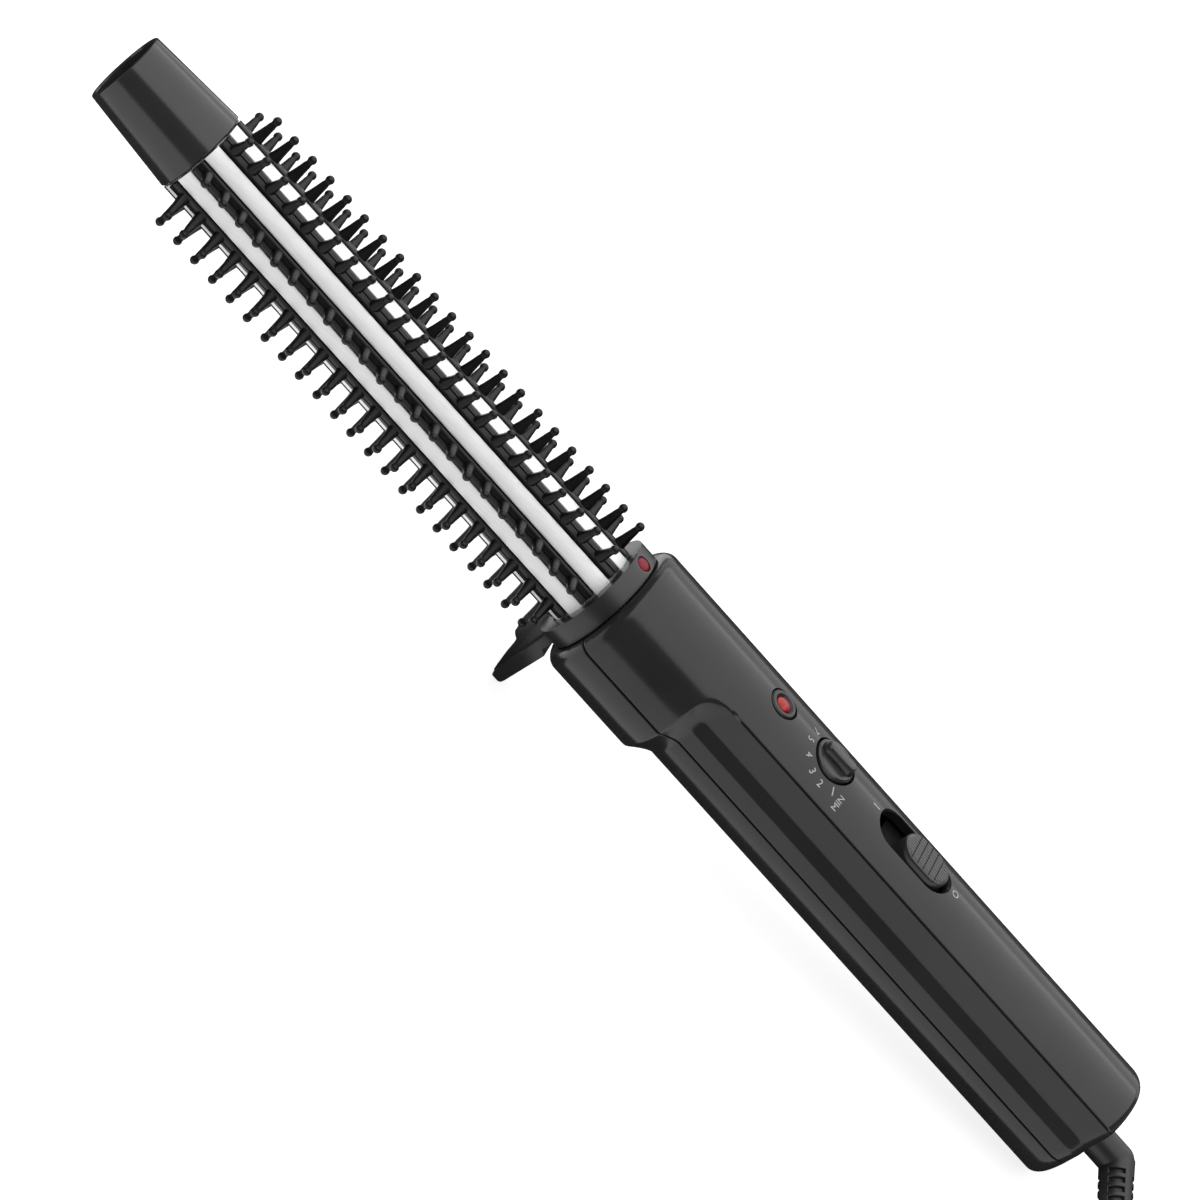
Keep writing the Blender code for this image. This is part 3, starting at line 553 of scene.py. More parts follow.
# %% The handle's section
HANDLE_LENGTH = 0.1494
SHOULDER_RADIUS = 0.01615
PANEL_RADIUS = 0.0175
PANEL_CENTRE = -0.0017
PANEL_TOP = PANEL_RADIUS + PANEL_CENTRE
PANEL_HALF_ANGLE = math.radians(38.9)
GRIP_HALF_WIDTH, GRIP_SIDE_HEIGHT, GRIP_DEPTH = 0.0132, 0.01957, 0.0128
FLANK_ANGLE, FLANK_DISTANCE = math.radians(78), 0.01253
LEDGE_ANGLE, LEDGE_DISTANCE = math.radians(60), 0.01318
SHOULDER_REAR, GRIP_FRONT = 0.1260, 0.1213
RECESS_CORNER, END_ROUND, FRONT_ROUND = 0.0055, 0.0050, 0.0026
CREASE_DEPTH, CREASE_HALF_ANGLE = 0.00050, math.radians(1.2)
SEAM_DEPTH, SEAM_HALF_ANGLE = 0.00022, math.radians(1.2)
STEP_POWER, STEP_EDGE = 1.35, 0.06
HANDLE_REAR, TOP_SHARE = 0.0033, 0.3


def soft_most(a, b, sign, rounding=0.00012):
    """The larger of two numbers (sign 1) or the smaller (sign -1), rounded where they cross."""
    return (a + b + sign * math.sqrt((a - b) ** 2 + rounding**2)) / 2


def oval(phi, half_width, half_height):
    return 1 / math.hypot(math.sin(phi) / half_width, math.cos(phi) / half_height)


def grip_section(phi):
    if phi > math.pi / 2:
        return oval(phi, GRIP_HALF_WIDTH, GRIP_DEPTH)
    belly = oval(phi, GRIP_HALF_WIDTH, GRIP_SIDE_HEIGHT)
    ledge = soft_most(LEDGE_DISTANCE / math.cos(phi - LEDGE_ANGLE), belly, -1)
    return soft_most(FLANK_DISTANCE / math.cos(phi - FLANK_ANGLE), ledge, 1)


def handle_radius(x, phi):
    """The distance of the handle's surface from the axis, at x and at the angle phi from the top."""
    phi = abs((phi + math.pi) % math.tau - math.pi)
    if phi <= PANEL_HALF_ANGLE:
        flat = PANEL_CENTRE * math.cos(phi)
        radius = flat + math.sqrt(PANEL_RADIUS**2 - (PANEL_CENTRE * math.sin(phi)) ** 2)
    else:
        grip = grip_section(phi)
        inside = max(RECESS_CORNER - (phi - PANEL_HALF_ANGLE) * SHOULDER_RADIUS, 0.0)
        rounded = RECESS_CORNER - math.sqrt(RECESS_CORNER**2 - inside**2)
        climb = max((x + rounded - GRIP_FRONT) / (SHOULDER_REAR - GRIP_FRONT), 0.0)
        share = min(max(soft_most(climb**STEP_POWER, 1.0, -1, STEP_EDGE), 0.0), 1.0)
        radius = grip + (SHOULDER_RADIUS - grip) * share
    recessed = 1.0 - ease((x - GRIP_FRONT + RECESS_CORNER) / RECESS_CORNER)
    near_crease = 1 - min(abs(phi - PANEL_HALF_ANGLE) / CREASE_HALF_ANGLE, 1.0)
    near_seam = 1 - min(abs(phi - math.pi / 2) / SEAM_HALF_ANGLE, 1.0)
    radius -= CREASE_DEPTH * near_crease * recessed + SEAM_DEPTH * near_seam
    rear_round = END_ROUND * (TOP_SHARE + (1 - TOP_SHARE) * math.sin(phi) ** 2)
    for edge, size in ((HANDLE_REAR + rear_round - x, rear_round),
                       (x - HANDLE_LENGTH + FRONT_ROUND, FRONT_ROUND)):
        if edge > 0:
            radius -= size - math.sqrt(max(size**2 - edge**2, 0.0))
    return radius


crease = math.degrees(PANEL_HALF_ANGLE)
near_lines = [line + d for line in (crease, 90.0) for d in (-2.2, -1.2, -1.0, -0.5, 0.0, 0.5, 1.0, 1.2, 2.2)]
half_turn = sorted({round(a, 3) for a in [2.4 * i for i in range(1, 75)] + near_lines
                    + [58 + 0.8 * i for i in range(22)] + [0.6]})
handle_angles = [math.radians(a) for a in half_turn]
handle_angles = handle_angles + [math.tau - a for a in reversed(handle_angles)]
print("panel top", round(handle_radius(0.06, 0) * 1000, 2), "mm,", len(handle_angles), "points a ring")

# %% The blank, its hollow and its openings
WALL, SEAM_GAP = 0.0021, 0.0003
BUSH_RADIUS, NECK_RADIUS, CLEARANCE = 0.0105, 0.0037, 0.0003
LAMP_X, LAMP_RADIUS = 0.1126, 0.0032
DIAL_HOLE = 0.0052
SLOT_REAR, SLOT_FRONT, SLOT_WIDTH = 0.0625, 0.0827, 0.0092
SCREW_PLACES = (0.0330, 0.1262)


def handle_ring(x, inset=0.0, places=handle_angles):
    return [Vector((x, (handle_radius(x, a) - inset) * math.sin(a),
                    (handle_radius(x, a) - inset) * math.cos(a))) for a in places]


def handle_blank(name):
    """Rings from the end to the front, close together at the rounded ends and at the step."""
    def spaced(first, last, count):
        return [first + (last - first) * i / count for i in range(1, count + 1)]

    front_from = HANDLE_LENGTH - FRONT_ROUND
    end = [HANDLE_REAR + END_ROUND * (1 - math.sin(math.pi / 2 * i / 12)) for i in range(12, -1, -1)]
    grip = spaced(end[-1], GRIP_FRONT - 2 * RECESS_CORNER, 8)
    step = [grip[-1] + (SHOULDER_REAR - grip[-1]) * i / 44 for i in range(1, 46)]
    shoulder = spaced(step[-1], front_from, 4)
    front = [front_from + FRONT_ROUND * math.sin(math.pi / 2 * i / 10) for i in range(1, 11)]
    return object_from(loft([handle_ring(x) for x in end + grip + step + shoulder + front]), name)


def countersunk(outline_at):
    """A cutter that widens by a small chamfer where it meets the crowned panel."""
    return loft([outline_at(0.010, 0.0), outline_at(PANEL_TOP - 0.0008, 0.0),
                 outline_at(PANEL_TOP + 0.0002, 0.0006), outline_at(0.020, 0.0006)])


def cutters(half):
    """What is cut from the blank: the hollow, both end bores, the other half, and the openings."""
    inner = [math.tau * (i + 0.5) / 48 for i in range(48)]
    yield loft([handle_ring(x, WALL, inner)
                for x in (HANDLE_REAR + WALL, HANDLE_REAR + END_ROUND, 0.06, 0.1195, 0.1275,
                          HANDLE_LENGTH - FRONT_ROUND)])
    yield turned_x([(0.140, BUSH_RADIUS + CLEARANCE), (0.160, BUSH_RADIUS + CLEARANCE)])
    yield turned_x([(-0.01, NECK_RADIUS + CLEARANCE), (0.01, NECK_RADIUS + CLEARANCE)], z=NECK_HEIGHT)
    wide, seam = 0.03, SEAM_GAP / 2
    heights = (-wide, seam) if half == "top" else (-seam, wide)
    yield prism(0, rectangle(-wide, wide, *heights), (-0.01, 0.17))
    if half == "top":
        for x, radius in ((LAMP_X, LAMP_RADIUS + 0.0002), (DIAL_X, DIAL_HOLE)):
            yield countersunk(lambda z, grow: circle_z(x, z, radius + grow / 3, 48))
        end = SLOT_WIDTH / 2
        yield countersunk(lambda z, grow: stadium(SLOT_REAR + end, SLOT_FRONT - end, end + grow, z))
    else:
        for x in SCREW_PLACES:
            yield turned_z(x, [(-0.030, 0.0030), (-0.0090, 0.0030)], 32)


for half in ("top", "bottom"):
    shell = handle_blank(f"handle_{half}")
    for shape in cutters(half):
        cut(shell, shape)
    shell.data.transform(TOOL)
    finish_piece(shell, "root", handle_plastic, [f"handle_{half}_shell"], angle=24)

# %% [markdown]
# ## Collar and heel rest
#
# A ring joins the barrel to the handle, and under it a short leg keeps the hot barrel off the table. A leg
# moulded in one piece with a ring has soft edges all round, so the three shapes are united first and the
# Bevel comes last. The red dot on top shows when the barrel is hot.

# %% Collar, leg and web in one piece
COLLAR_REAR, COLLAR_FRONT, COLLAR_RADIUS = 0.1497, 0.1541, 0.0131
BARREL_RADIUS = 0.009525
BARREL_GAP = 0.00025
ring = rectangle(COLLAR_REAR, COLLAR_FRONT, BARREL_RADIUS + BARREL_GAP, COLLAR_RADIUS)
collar = object_from(turned_x(ring, 72, closed=True), "collar_ring")

web_outline = [(COLLAR_REAR, -0.0112), (0.1541, -0.0112), (0.1560, -0.0138), (0.1563, -0.0160),
               (0.1561, -0.0178), (0.1553, -0.0203), (0.1547, -0.0209), (0.1538, -0.0214),
               (0.1531, -0.0230), (0.1522, -0.0268), (0.1511, -0.0306), (COLLAR_REAR, -0.0312)]
WEB_HALF_WIDTH, LEG_REAR = 0.0011, 0.1484
cut(collar, prism(1, web_outline, (-WEB_HALF_WIDTH, WEB_HALF_WIDTH)), "UNION")
leg_levels = ((-0.0110, 0.0042, COLLAR_REAR, 0.1520), (-0.0164, 0.0038, COLLAR_REAR, 0.1517),
              (-0.0172, 0.0038, LEG_REAR, 0.1517), (-0.0292, 0.0028, LEG_REAR, 0.1511),
              (-0.0303, 0.0026, LEG_REAR + 0.0001, 0.1510), (-0.0311, 0.0021, LEG_REAR + 0.0004, 0.1506),
              (-0.0315, 0.0013, LEG_REAR + 0.0008, 0.1501))
cut(collar, loft([[Vector((*corner, z)) for corner in rectangle(rear, front, -half_width, half_width)]
                  for z, half_width, rear, front in leg_levels]), "UNION")
DOT_X = (COLLAR_REAR + COLLAR_FRONT) / 2
cut(collar, turned_z(DOT_X, [(0.0124, 0.0017), (0.0140, 0.0017)], 32))
soften(collar, 0.0004, 3)
collar.data.transform(TOOL)
finish_piece(collar, "root", collar_plastic, ["stand_collar"], angle=50)

dome = [(0.0124, 0.0015), (0.01285, 0.0015)]
dome += [(0.01285 + 0.00035 * math.sin(a), 0.0015 * math.cos(a)) for a in angles(0, math.pi / 2, 5)[1:-1]]
dome += [(0.0132, 0.0001)]
hot_dot = object_from(turned_z(DOT_X, dome, 32), "hot_dot", TOOL)
finish_piece(hot_dot, "root", dot_red, ["heat_ready_dot"], angle=60)

# %% [markdown]
# ## The barrel
#
# The barrel is an aluminium extrusion: one outline with eight grooves, the same along its whole length. The
# lips of the grooves are rounded a little, because a sharp lip would catch hair, and because a rounded lip
# is what draws the fine bright line beside each strip.

# %% Extrude the grooved outline
BARREL_FRONT, BARREL_REAR, BARREL_BORE = 0.2690, 0.1320, 0.0062
STRIPS, STRIP_WIDTH, GROOVE_DEPTH = 8, 0.0030, 0.0017
LIP = 0.00022


def barrel_outline():
    """(radius, angle) pairs round the tube, with the lips of the grooves rounded."""
    points = []
    half = (STRIP_WIDTH / 2 + 0.0003) / BARREL_RADIUS
    floor = BARREL_RADIUS - GROOVE_DEPTH
    lip = LIP / BARREL_RADIUS
    for i in range(STRIPS):
        middle = math.tau * (i + 0.5) / STRIPS
        for sign, turn in ((-1, (0, 1, 2, 3)), (1, (3, 2, 1, 0))):
            corner = [(BARREL_RADIUS - LIP * (1 - math.cos(math.pi / 6 * k)),
                       middle + sign * (half + lip - lip * math.sin(math.pi / 6 * k))) for k in turn]
            bottom = [(floor, middle + sign * half * BARREL_RADIUS / floor)]
            points += corner + bottom if sign < 0 else bottom + corner
        land = math.tau / STRIPS - 2 * (half + lip)
        points += [(BARREL_RADIUS, middle + half + lip + land * k / 9) for k in range(1, 9)]
    return points


BORE_FRONT = BARREL_FRONT - 0.0004
barrel = object_from(loft([[Vector((x, r * math.sin(a), r * math.cos(a)))
                            for r, a in ((bore or edge, a) for edge, a in barrel_outline())]
                           for x, bore in ((BARREL_REAR, None), (BORE_FRONT, None),
                                           (BORE_FRONT, BARREL_BORE), (BARREL_REAR, BARREL_BORE))],
                          closed=True), "barrel", TOOL)
finish_piece(barrel, "root", barrel_metal, ["barrel_tube"], angle=40)

# %% [markdown]
# ## The bristle rows, with Geometry Nodes
#
# Each row is a nylon bar that slides into its groove, with 22 bristles at an even pitch. That is just what
# Geometry Nodes is good at: a Mesh Line gives the places, Instance on Points puts a bristle at each, and a
# seeded random tilt of a degree or so keeps them from looking machined. The same tree serves all eight
# rows, with the row's place round the barrel as one of its inputs.

# %% One bristle and one bar
BRISTLES, PITCH, FIRST_BRISTLE = 22, 0.00508, 0.2658
STRIP_REAR, STRIP_TOP = 0.1545, 0.0099
ROW_SHIFT = (0.0, 0.0, 0.0006, 0.0020, 0.0, 0.0, 0.0006, 0.0020)
profile = [(0.0093, 0.00138), (0.0101, 0.00132), (0.0112, 0.00112), (0.0128, 0.00092),
           (0.0139, 0.00082), (0.01435, 0.00072)]
ball_centre, ball_radius = 0.01525, 0.00095
profile += [(ball_centre - ball_radius * math.cos(a), ball_radius * math.sin(a))
            for a in (math.radians(t) for t in (50, 78, 105, 132, 158))]
bristle = object_from(turned_z(0.0, profile + [(ball_centre + ball_radius, 0.0001)], 12), "bristle_shape")
bristle.data.shade_smooth()


def strip_bar():
    """The bar's section is drawn once and lofted: a crowned top with a fine line along its middle."""
    half, low = STRIP_WIDTH / 2, BARREL_RADIUS - GROOVE_DEPTH + 0.0003
    right_half = [(half, low), (half, STRIP_TOP - 0.0003), (half - 0.0002, STRIP_TOP - 0.0001),
                  (half - 0.0006, STRIP_TOP), (0.00022, STRIP_TOP + 0.00003), (0.0001, STRIP_TOP - 0.00025)]
    left_half = [(-y, z) for y, z in reversed(right_half)]
    return prism(0, right_half + left_half, (STRIP_REAR, BARREL_FRONT - 0.0006))


print("one bristle has", len(bristle.data.polygons), "faces")

# %% A short way to write trees
class Tree:
    """A Geometry Nodes tree with named inputs. Geometry and Material are inputs of every tree."""

    def __init__(self, name, *inputs):
        self.tree = bpy.data.node_groups.new(name, "GeometryNodeTree")
        self.names = {}
        for title, kind, *default in (("Geometry", "Geometry"), *inputs, ("Material", "Material")):
            socket = self.tree.interface.new_socket(title, in_out="INPUT", socket_type="NodeSocket" + kind)
            if default:
                socket.default_value = default[0]
            self.names[title] = socket.identifier
        self.tree.interface.new_socket("Geometry", in_out="OUTPUT", socket_type="NodeSocketGeometry")
        self.given = self.tree.nodes.new("NodeGroupInput").outputs

    def add(self, kind, inputs, output=0, **settings):
        """A node with its settings, and each input either linked or set. Returns one of its outputs."""
        node = self.tree.nodes.new(kind)
        for name, value in settings.items():
            setattr(node, name, value)
        for key, value in inputs.items():
            if isinstance(value, bpy.types.NodeSocket):
                self.tree.links.new(value, node.inputs[key])
            else:
                node.inputs[key].default_value = value
        return node.outputs[output]

    def maths(self, operation, first, second):
        return self.add("ShaderNodeMath", {0: first, 1: second}, operation=operation)

    def vector(self, **axes):
        return self.add("ShaderNodeCombineXYZ", axes)

    def shape_of(self, title):
        return self.add("GeometryNodeObjectInfo", {"Object": self.given[title]}, "Geometry")

    def join(self, parts):
        joined = self.tree.nodes.new("GeometryNodeJoinGeometry")
        for part in parts:
            self.tree.links.new(part, joined.inputs[0])
        return joined.outputs[0]

    def finish(self, geometry):
        """The last steps: instances become plain mesh and take the material."""
        real = self.add("GeometryNodeRealizeInstances", {0: geometry})
        painted = self.add("GeometryNodeSetMaterial", {"Geometry": real, "Material": self.given["Material"]})
        self.tree.links.new(painted, self.tree.nodes.new("NodeGroupOutput").inputs[0])
        print(self.tree.name, "tree:", len(self.tree.nodes), "nodes, inputs", sorted(self.names))

    def run(self, obj, **values):
        """Run the tree on an object with these inputs, and keep the result as plain mesh."""
        modifier = obj.modifiers.new(self.tree.name, "NODES")
        modifier.node_group = self.tree
        for name, value in values.items():
            modifier[self.names[name.capitalize()]] = value
        return applied(obj)


print("a tree is written with the methods", [name for name in vars(Tree) if not name.startswith("_")])

# %% The tree for a row
row_tree = Tree("bristle_row", ("Bristle", "Object"), ("Count", "Int", BRISTLES),
                ("First", "Float", FIRST_BRISTLE), ("Pitch", "Float", PITCH), ("Angle", "Float", 0.0),
                ("Tilt", "Float", 0.012), ("Seed", "Int", 0))
given = row_tree.given
line = row_tree.add("GeometryNodeMeshLine", {
    "Count": given["Count"], "Start Location": row_tree.vector(X=given["First"]),
    "Offset": row_tree.vector(X=row_tree.maths("MULTIPLY", given["Pitch"], -1.0))})
widest = row_tree.vector(X=given["Tilt"], Y=given["Tilt"])
narrowest = row_tree.add("ShaderNodeVectorMath", {0: widest, "Scale": -1.0}, operation="SCALE")
lean = row_tree.add("FunctionNodeRandomValue", {"Min": narrowest, "Max": widest, "Seed": given["Seed"]},
                    "Value", data_type="FLOAT_VECTOR")
copies = row_tree.add("GeometryNodeInstanceOnPoints", {
    "Points": line, "Instance": row_tree.shape_of("Bristle"), "Rotation": lean})
row_tree.finish(row_tree.add("GeometryNodeTransform", {
    "Geometry": row_tree.join([copies, given["Geometry"]]), "Rotation": row_tree.vector(X=given["Angle"])}))

# %% Eight rows from the one tree
for row in range(STRIPS):
    bar = object_from(strip_bar(), f"bristle_row_{row + 1}")
    row_tree.run(bar, bristle=bristle, first=FIRST_BRISTLE - ROW_SHIFT[row], seed=row,
                 angle=-math.tau * (row + 0.5) / STRIPS, material=bristle_nylon.material)
    bar.data.transform(TOOL)
    finish_piece(bar, "root", bristle_nylon, [f"bristle_strip_{row + 1}"], angle=40)
bpy.data.objects.remove(bristle)

# %% [markdown]
# ## The cool tip
#
# The tip is a thin tapered cup that stays cool enough to hold. It is turned from one outline that goes
# along the outside, round the lip, down the inside to the floor and back through the middle.

# %% Turn the tip
TIP_FRONT, TIP_FRONT_RADIUS, TIP_BASE_RADIUS = 0.2910, 0.0085, 0.0099
TIP_WALL, TIP_FLOOR, TIP_EDGE = 0.0011, 0.2730, 0.0004


def tip_radius(x):
    t = (x - BARREL_FRONT) / (TIP_FRONT - BARREL_FRONT)
    return TIP_BASE_RADIUS + (TIP_FRONT_RADIUS - TIP_BASE_RADIUS) * t


tip_outline = [(BARREL_FRONT, 0.0022), (BARREL_FRONT, TIP_BASE_RADIUS - 0.0002),
               (BARREL_FRONT + 0.0002, TIP_BASE_RADIUS)]
tip_outline += [(x, tip_radius(x)) for x in (BARREL_FRONT + 0.004, 0.279, 0.285)]
tip_outline += [(TIP_FRONT - TIP_EDGE + TIP_EDGE * math.sin(a),
                 TIP_FRONT_RADIUS - TIP_EDGE + TIP_EDGE * math.cos(a)) for a in angles(0, math.pi / 2, 5)]
tip_inside = TIP_FRONT_RADIUS - TIP_WALL
tip_outline += [(TIP_FRONT - 0.0001, tip_inside + 0.0002), (TIP_FRONT - 0.0004, tip_inside),
                (0.282, tip_inside - 0.0001), (TIP_FLOOR + 0.0005, tip_inside - 0.0002),
                (TIP_FLOOR, tip_inside - 0.0007), (TIP_FLOOR, 0.0022)]
cool_tip = object_from(turned_x(tip_outline, 96, closed=True), "tip_cup", TOOL)
finish_piece(cool_tip, "root", tip_plastic, ["cool_tip"], angle=30)

# %% [markdown]
# ## Lamp, dial and switch
#
# The lamp is a black ring round a red lens. The dial is a disc with a raised finger ridge that is ribbed
# where the finger pushes, and the switch is a long button with grip grooves that slides in its slot. The
# dial and the button ride on bodies of their own, so they move when the model is posed.

# %% The lamp
LENS_RADIUS = 0.0017
rim = PANEL_TOP + 0.0001
bezel = [(0.0125, LENS_RADIUS + 0.0001), (0.0125, LAMP_RADIUS), (rim - 0.0003, LAMP_RADIUS),
         (rim, LAMP_RADIUS - 0.0003), (rim, LENS_RADIUS + 0.0006), (rim - 0.0005, LENS_RADIUS + 0.0001)]
lamp_ring = object_from(turned_z(LAMP_X, bezel, 48, closed=True), "lamp_ring", TOOL)
finish_piece(lamp_ring, "root", black_plastic, ["lamp_bezel"], angle=40)

lens = [(0.0125, LENS_RADIUS)]
lens += [(PANEL_TOP - 0.0004 + 0.0006 * math.sin(a), LENS_RADIUS * math.cos(a))
         for a in angles(0, math.pi / 2, 8)[:-1]] + [(PANEL_TOP + 0.0002, 0.0001)]
lamp_lens = object_from(turned_z(LAMP_X, lens, 36), "lamp_lens", TOOL)
finish_piece(lamp_lens, "root", lamp_red, ["indicator_lens"], angle=60)

# %% The dial
DIAL_RADIUS, RIDGE_LENGTH, RIDGE_WIDTH, RIDGE_TOP = 0.0048, 0.0084, 0.0034, PANEL_TOP + 0.0024
disc = [(0.0125, DIAL_RADIUS), (PANEL_TOP + 0.00005, DIAL_RADIUS), (PANEL_TOP + 0.0004, DIAL_RADIUS - 0.0004)]
knob = object_from(turned_z(DIAL_X, disc, 64), "dial_knob")


def ridge():
    """The finger ridge: a bar with sloping ends and softly crowned top."""
    levels = ((0.0150, 1.0, 1.0), (PANEL_TOP + 0.0008, 1.0, 0.98), (RIDGE_TOP - 0.0005, 0.93, 0.84),
              (RIDGE_TOP, 0.84, 0.66))
    rings = []
    for z, long_share, wide_share in levels:
        a, b = RIDGE_LENGTH / 2 * long_share, RIDGE_WIDTH / 2 * wide_share
        rings.append([Vector((DIAL_X + x, y, z)) for x, y in
                      ((-a + b * 0.6, -b), (a - b * 0.6, -b), (a, -b * 0.4), (a, b * 0.4),
                       (a - b * 0.6, b), (-a + b * 0.6, b), (-a, b * 0.4), (-a, -b * 0.4))])
    return loft(rings)


RIB_PITCH = 0.00075
cut(knob, ridge(), "UNION")
for i in range(5):
    x = DIAL_X - RIDGE_LENGTH / 2 + 0.0007 + i * RIB_PITCH
    cut(knob, prism(0, rectangle(-0.003, -0.0006, RIDGE_TOP - 0.0001, RIDGE_TOP + 0.001),
                    (x - 0.00011, x + 0.00011)))
soften(knob, 0.00012, 2, 40)
knob.data.transform(TOOL)
finish_piece(knob, "dial", control_plastic, ["heat_dial"], angle=35)

# %% The switch button
SLIDER_REAR, SLIDER_LENGTH, SLIDER_WIDTH = 0.0636, 0.0125, 0.0083
BUTTON_TOP = PANEL_TOP + 0.0009
half = SLIDER_WIDTH / 2


def button_ring(z, inset):
    return stadium(SLIDER_REAR + half, SLIDER_REAR + SLIDER_LENGTH - half, half - inset, z)


def groove(x0, x1, y0, y1, depth):
    return prism(2, rectangle(x0, x1, y0, y1), (BUTTON_TOP - depth, BUTTON_TOP + 0.001))


button = object_from(loft([button_ring(0.0120, 0.0), button_ring(BUTTON_TOP - 0.0006, 0.0),
                           button_ring(BUTTON_TOP - 0.0002, 0.00025), button_ring(BUTTON_TOP, 0.0009)]),
                     "switch_slider")
GRIP_PITCH, FINE_PITCH = 0.00165, 0.00072
for i in range(5):
    x = SLIDER_REAR + 0.0030 + i * GRIP_PITCH
    cut(button, groove(x - 0.00014, x + 0.00014, -0.0037, 0.0037, 0.0003))
for i in range(9):
    y = (i - 4) * FINE_PITCH
    reach = math.sqrt(half**2 - y**2) - 0.0011
    cut(button, groove(SLIDER_REAR + half - reach, SLIDER_REAR + SLIDER_LENGTH - half + reach,
                       y - 0.00006, y + 0.00006, 0.00013))
button.data.transform(TOOL)
finish_piece(button, "slider", control_plastic, ["switch_button"], angle=35)

# A flange under the slot that slides with the button. Its near-black matt finish is painted shade: it darkens
# the inside of the slot, where shade falls.
SHIELD_HALF_LENGTH = 0.0100
shield_x = SLIDER_REAR + SLIDER_LENGTH / 2
flange_and_shade = object_from(prism(0, rectangle(-0.0056, 0.0056, 0.0113, 0.0121),
                           (shield_x - SHIELD_HALF_LENGTH, shield_x + SHIELD_HALF_LENGTH)), "slot_shield")
soften(flange_and_shade, 0.0002, 2)
flange_and_shade.data.transform(TOOL)
finish_piece(flange_and_shade, "slider", matt_black)

# %% [markdown]
# ## Printed marks
#
# The heat numbers, the word for the lowest heat and the on and off marks are pad printed. Text is turned
# into mesh, laid out flat beside the dial, and then wrapped onto the crowned panel point by point, so it
# follows the surface a few hundredths of a millimetre above it.

# %% Lay out and wrap the marks
MARK_LIFT = 0.00004
MARK_THICKNESS = 0.00003


def mark_mesh(text, height):
    data = bpy.data.curves.new("mark", "FONT")
    data.body, data.size = text, height / 0.72
    data.align_x, data.align_y = "CENTER", "CENTER"
    data.extrude = MARK_THICKNESS / 2
    data.resolution_u = 4
    obj = linked("mark", data)
    mesh = plain_mesh(obj)
    bpy.data.objects.remove(obj)
    return mesh


def wrapped(shape, mesh, x, y, up_x, up_y):
    """Add a flat mesh to the bmesh, turned so that its top points along (up_x, up_y), on the panel."""
    part = bmesh.new()
    part.from_mesh(mesh)
    bmesh.ops.subdivide_edges(part, edges=[e for e in part.edges if e.calc_length() > 0.0004], cuts=1)
    for vert in part.verts:
        across, tall, lift = vert.co
        px = x + tall * up_x + across * up_y
        py = y + tall * up_y - across * up_x
        height = PANEL_CENTRE + math.sqrt(PANEL_RADIUS**2 - py**2)
        vert.co = (px, py, height + MARK_LIFT + lift)
    part.to_mesh(mesh)
    part.free()
    shape.from_mesh(mesh)
    bpy.data.meshes.remove(mesh)


def stroke_mesh(length, width):
    shape = prism(2, rectangle(-width / 2, width / 2, -length / 2, length / 2),
                  (-MARK_THICKNESS / 2, MARK_THICKNESS / 2))
    bmesh.ops.recalc_face_normals(shape, faces=shape.faces)
    return mesh_from(shape, "mark")


marks = bmesh.new()
NUMERAL_CIRCLE, NUMERAL_HEIGHT = 0.00705, 0.0016
for text, degrees in (("2", 90), ("3", 113.5), ("4", 140.5), ("5", 169.5), ("7", 197)):
    a = math.radians(degrees)
    out_x, out_y = -math.cos(a), math.sin(a)
    wrapped(marks, mark_mesh(text, NUMERAL_HEIGHT), DIAL_X + NUMERAL_CIRCLE * out_x,
            NUMERAL_CIRCLE * out_y, -out_x, -out_y)
TICK_CIRCLE, a = 0.0068, math.radians(63)
wrapped(marks, stroke_mesh(0.0018, 0.00028), DIAL_X - TICK_CIRCLE * math.cos(a), TICK_CIRCLE * math.sin(a),
        math.cos(a), -math.sin(a))
wrapped(marks, mark_mesh("MIN", 0.0014), 0.0916, 0.00695, 1.0, 0.0)
wrapped(marks, stroke_mesh(0.0019, 0.00030), 0.0847, 0.0, 1.0, 0.0)
wrapped(marks, mark_mesh("O", 0.0017), 0.0605, 0.0, 1.0, 0.0)
printed = object_from(marks, "printed_marks", TOOL)
finish_piece(printed, "root", mark_paint)

# %% [markdown]
# ## The neck and the ribbed sleeve
#
# The cord comes out through a neck that turns in the handle's end, so the cord never winds up. Behind it a
# rubber sleeve keeps the cord from kinking. Its wall is opened by short slots in facing pairs, each pair a
# quarter turn from the last, which leaves four rails with ribs between them. Geometry Nodes sweeps the
# rails along the centre line and sets the ribs on it, each turned a quarter from the last.

# %% The neck
FLANGE_REAR, FLANGE_FRONT, FLANGE_RADIUS = 0.0060, 0.0078, 0.0056
neck_outline = [(-NECK_LENGTH - NECK_RADIUS * math.cos(a), NECK_RADIUS * math.sin(a))
                for a in angles(0, math.pi / 2, 10)[1:]]
neck_outline += [(FLANGE_REAR, NECK_RADIUS), (FLANGE_REAR, FLANGE_RADIUS), (FLANGE_FRONT, FLANGE_RADIUS),
                 (FLANGE_FRONT, 0.0010)]
neck = object_from(turned_x(neck_outline, 64, z=NECK_HEIGHT), "swivel_neck", TOOL)
finish_piece(neck, "swivel", black_plastic, ["cord_swivel_neck"], angle=45)

# %% A line for the sleeve to follow, the section of its rails, and one pair of ribs
SLEEVE_END_RADIUS = 0.0034
SLEEVE_CORE = 0.0029
RAIL_HALF_ANGLE = math.radians(17)
SLOT_TURN = math.radians(37)
RIB_COUNT, RIB_WIDTH = 22, 0.0010
CUFF_LENGTH = 0.0026


def line_object(name, points, closed=False):
    mesh = bpy.data.meshes.new(name)
    edges = [(i, i + 1) for i in range(len(points) - 1)] + ([(len(points) - 1, 0)] if closed else [])
    mesh.from_pydata(points, edges, [])
    return linked(name, mesh)


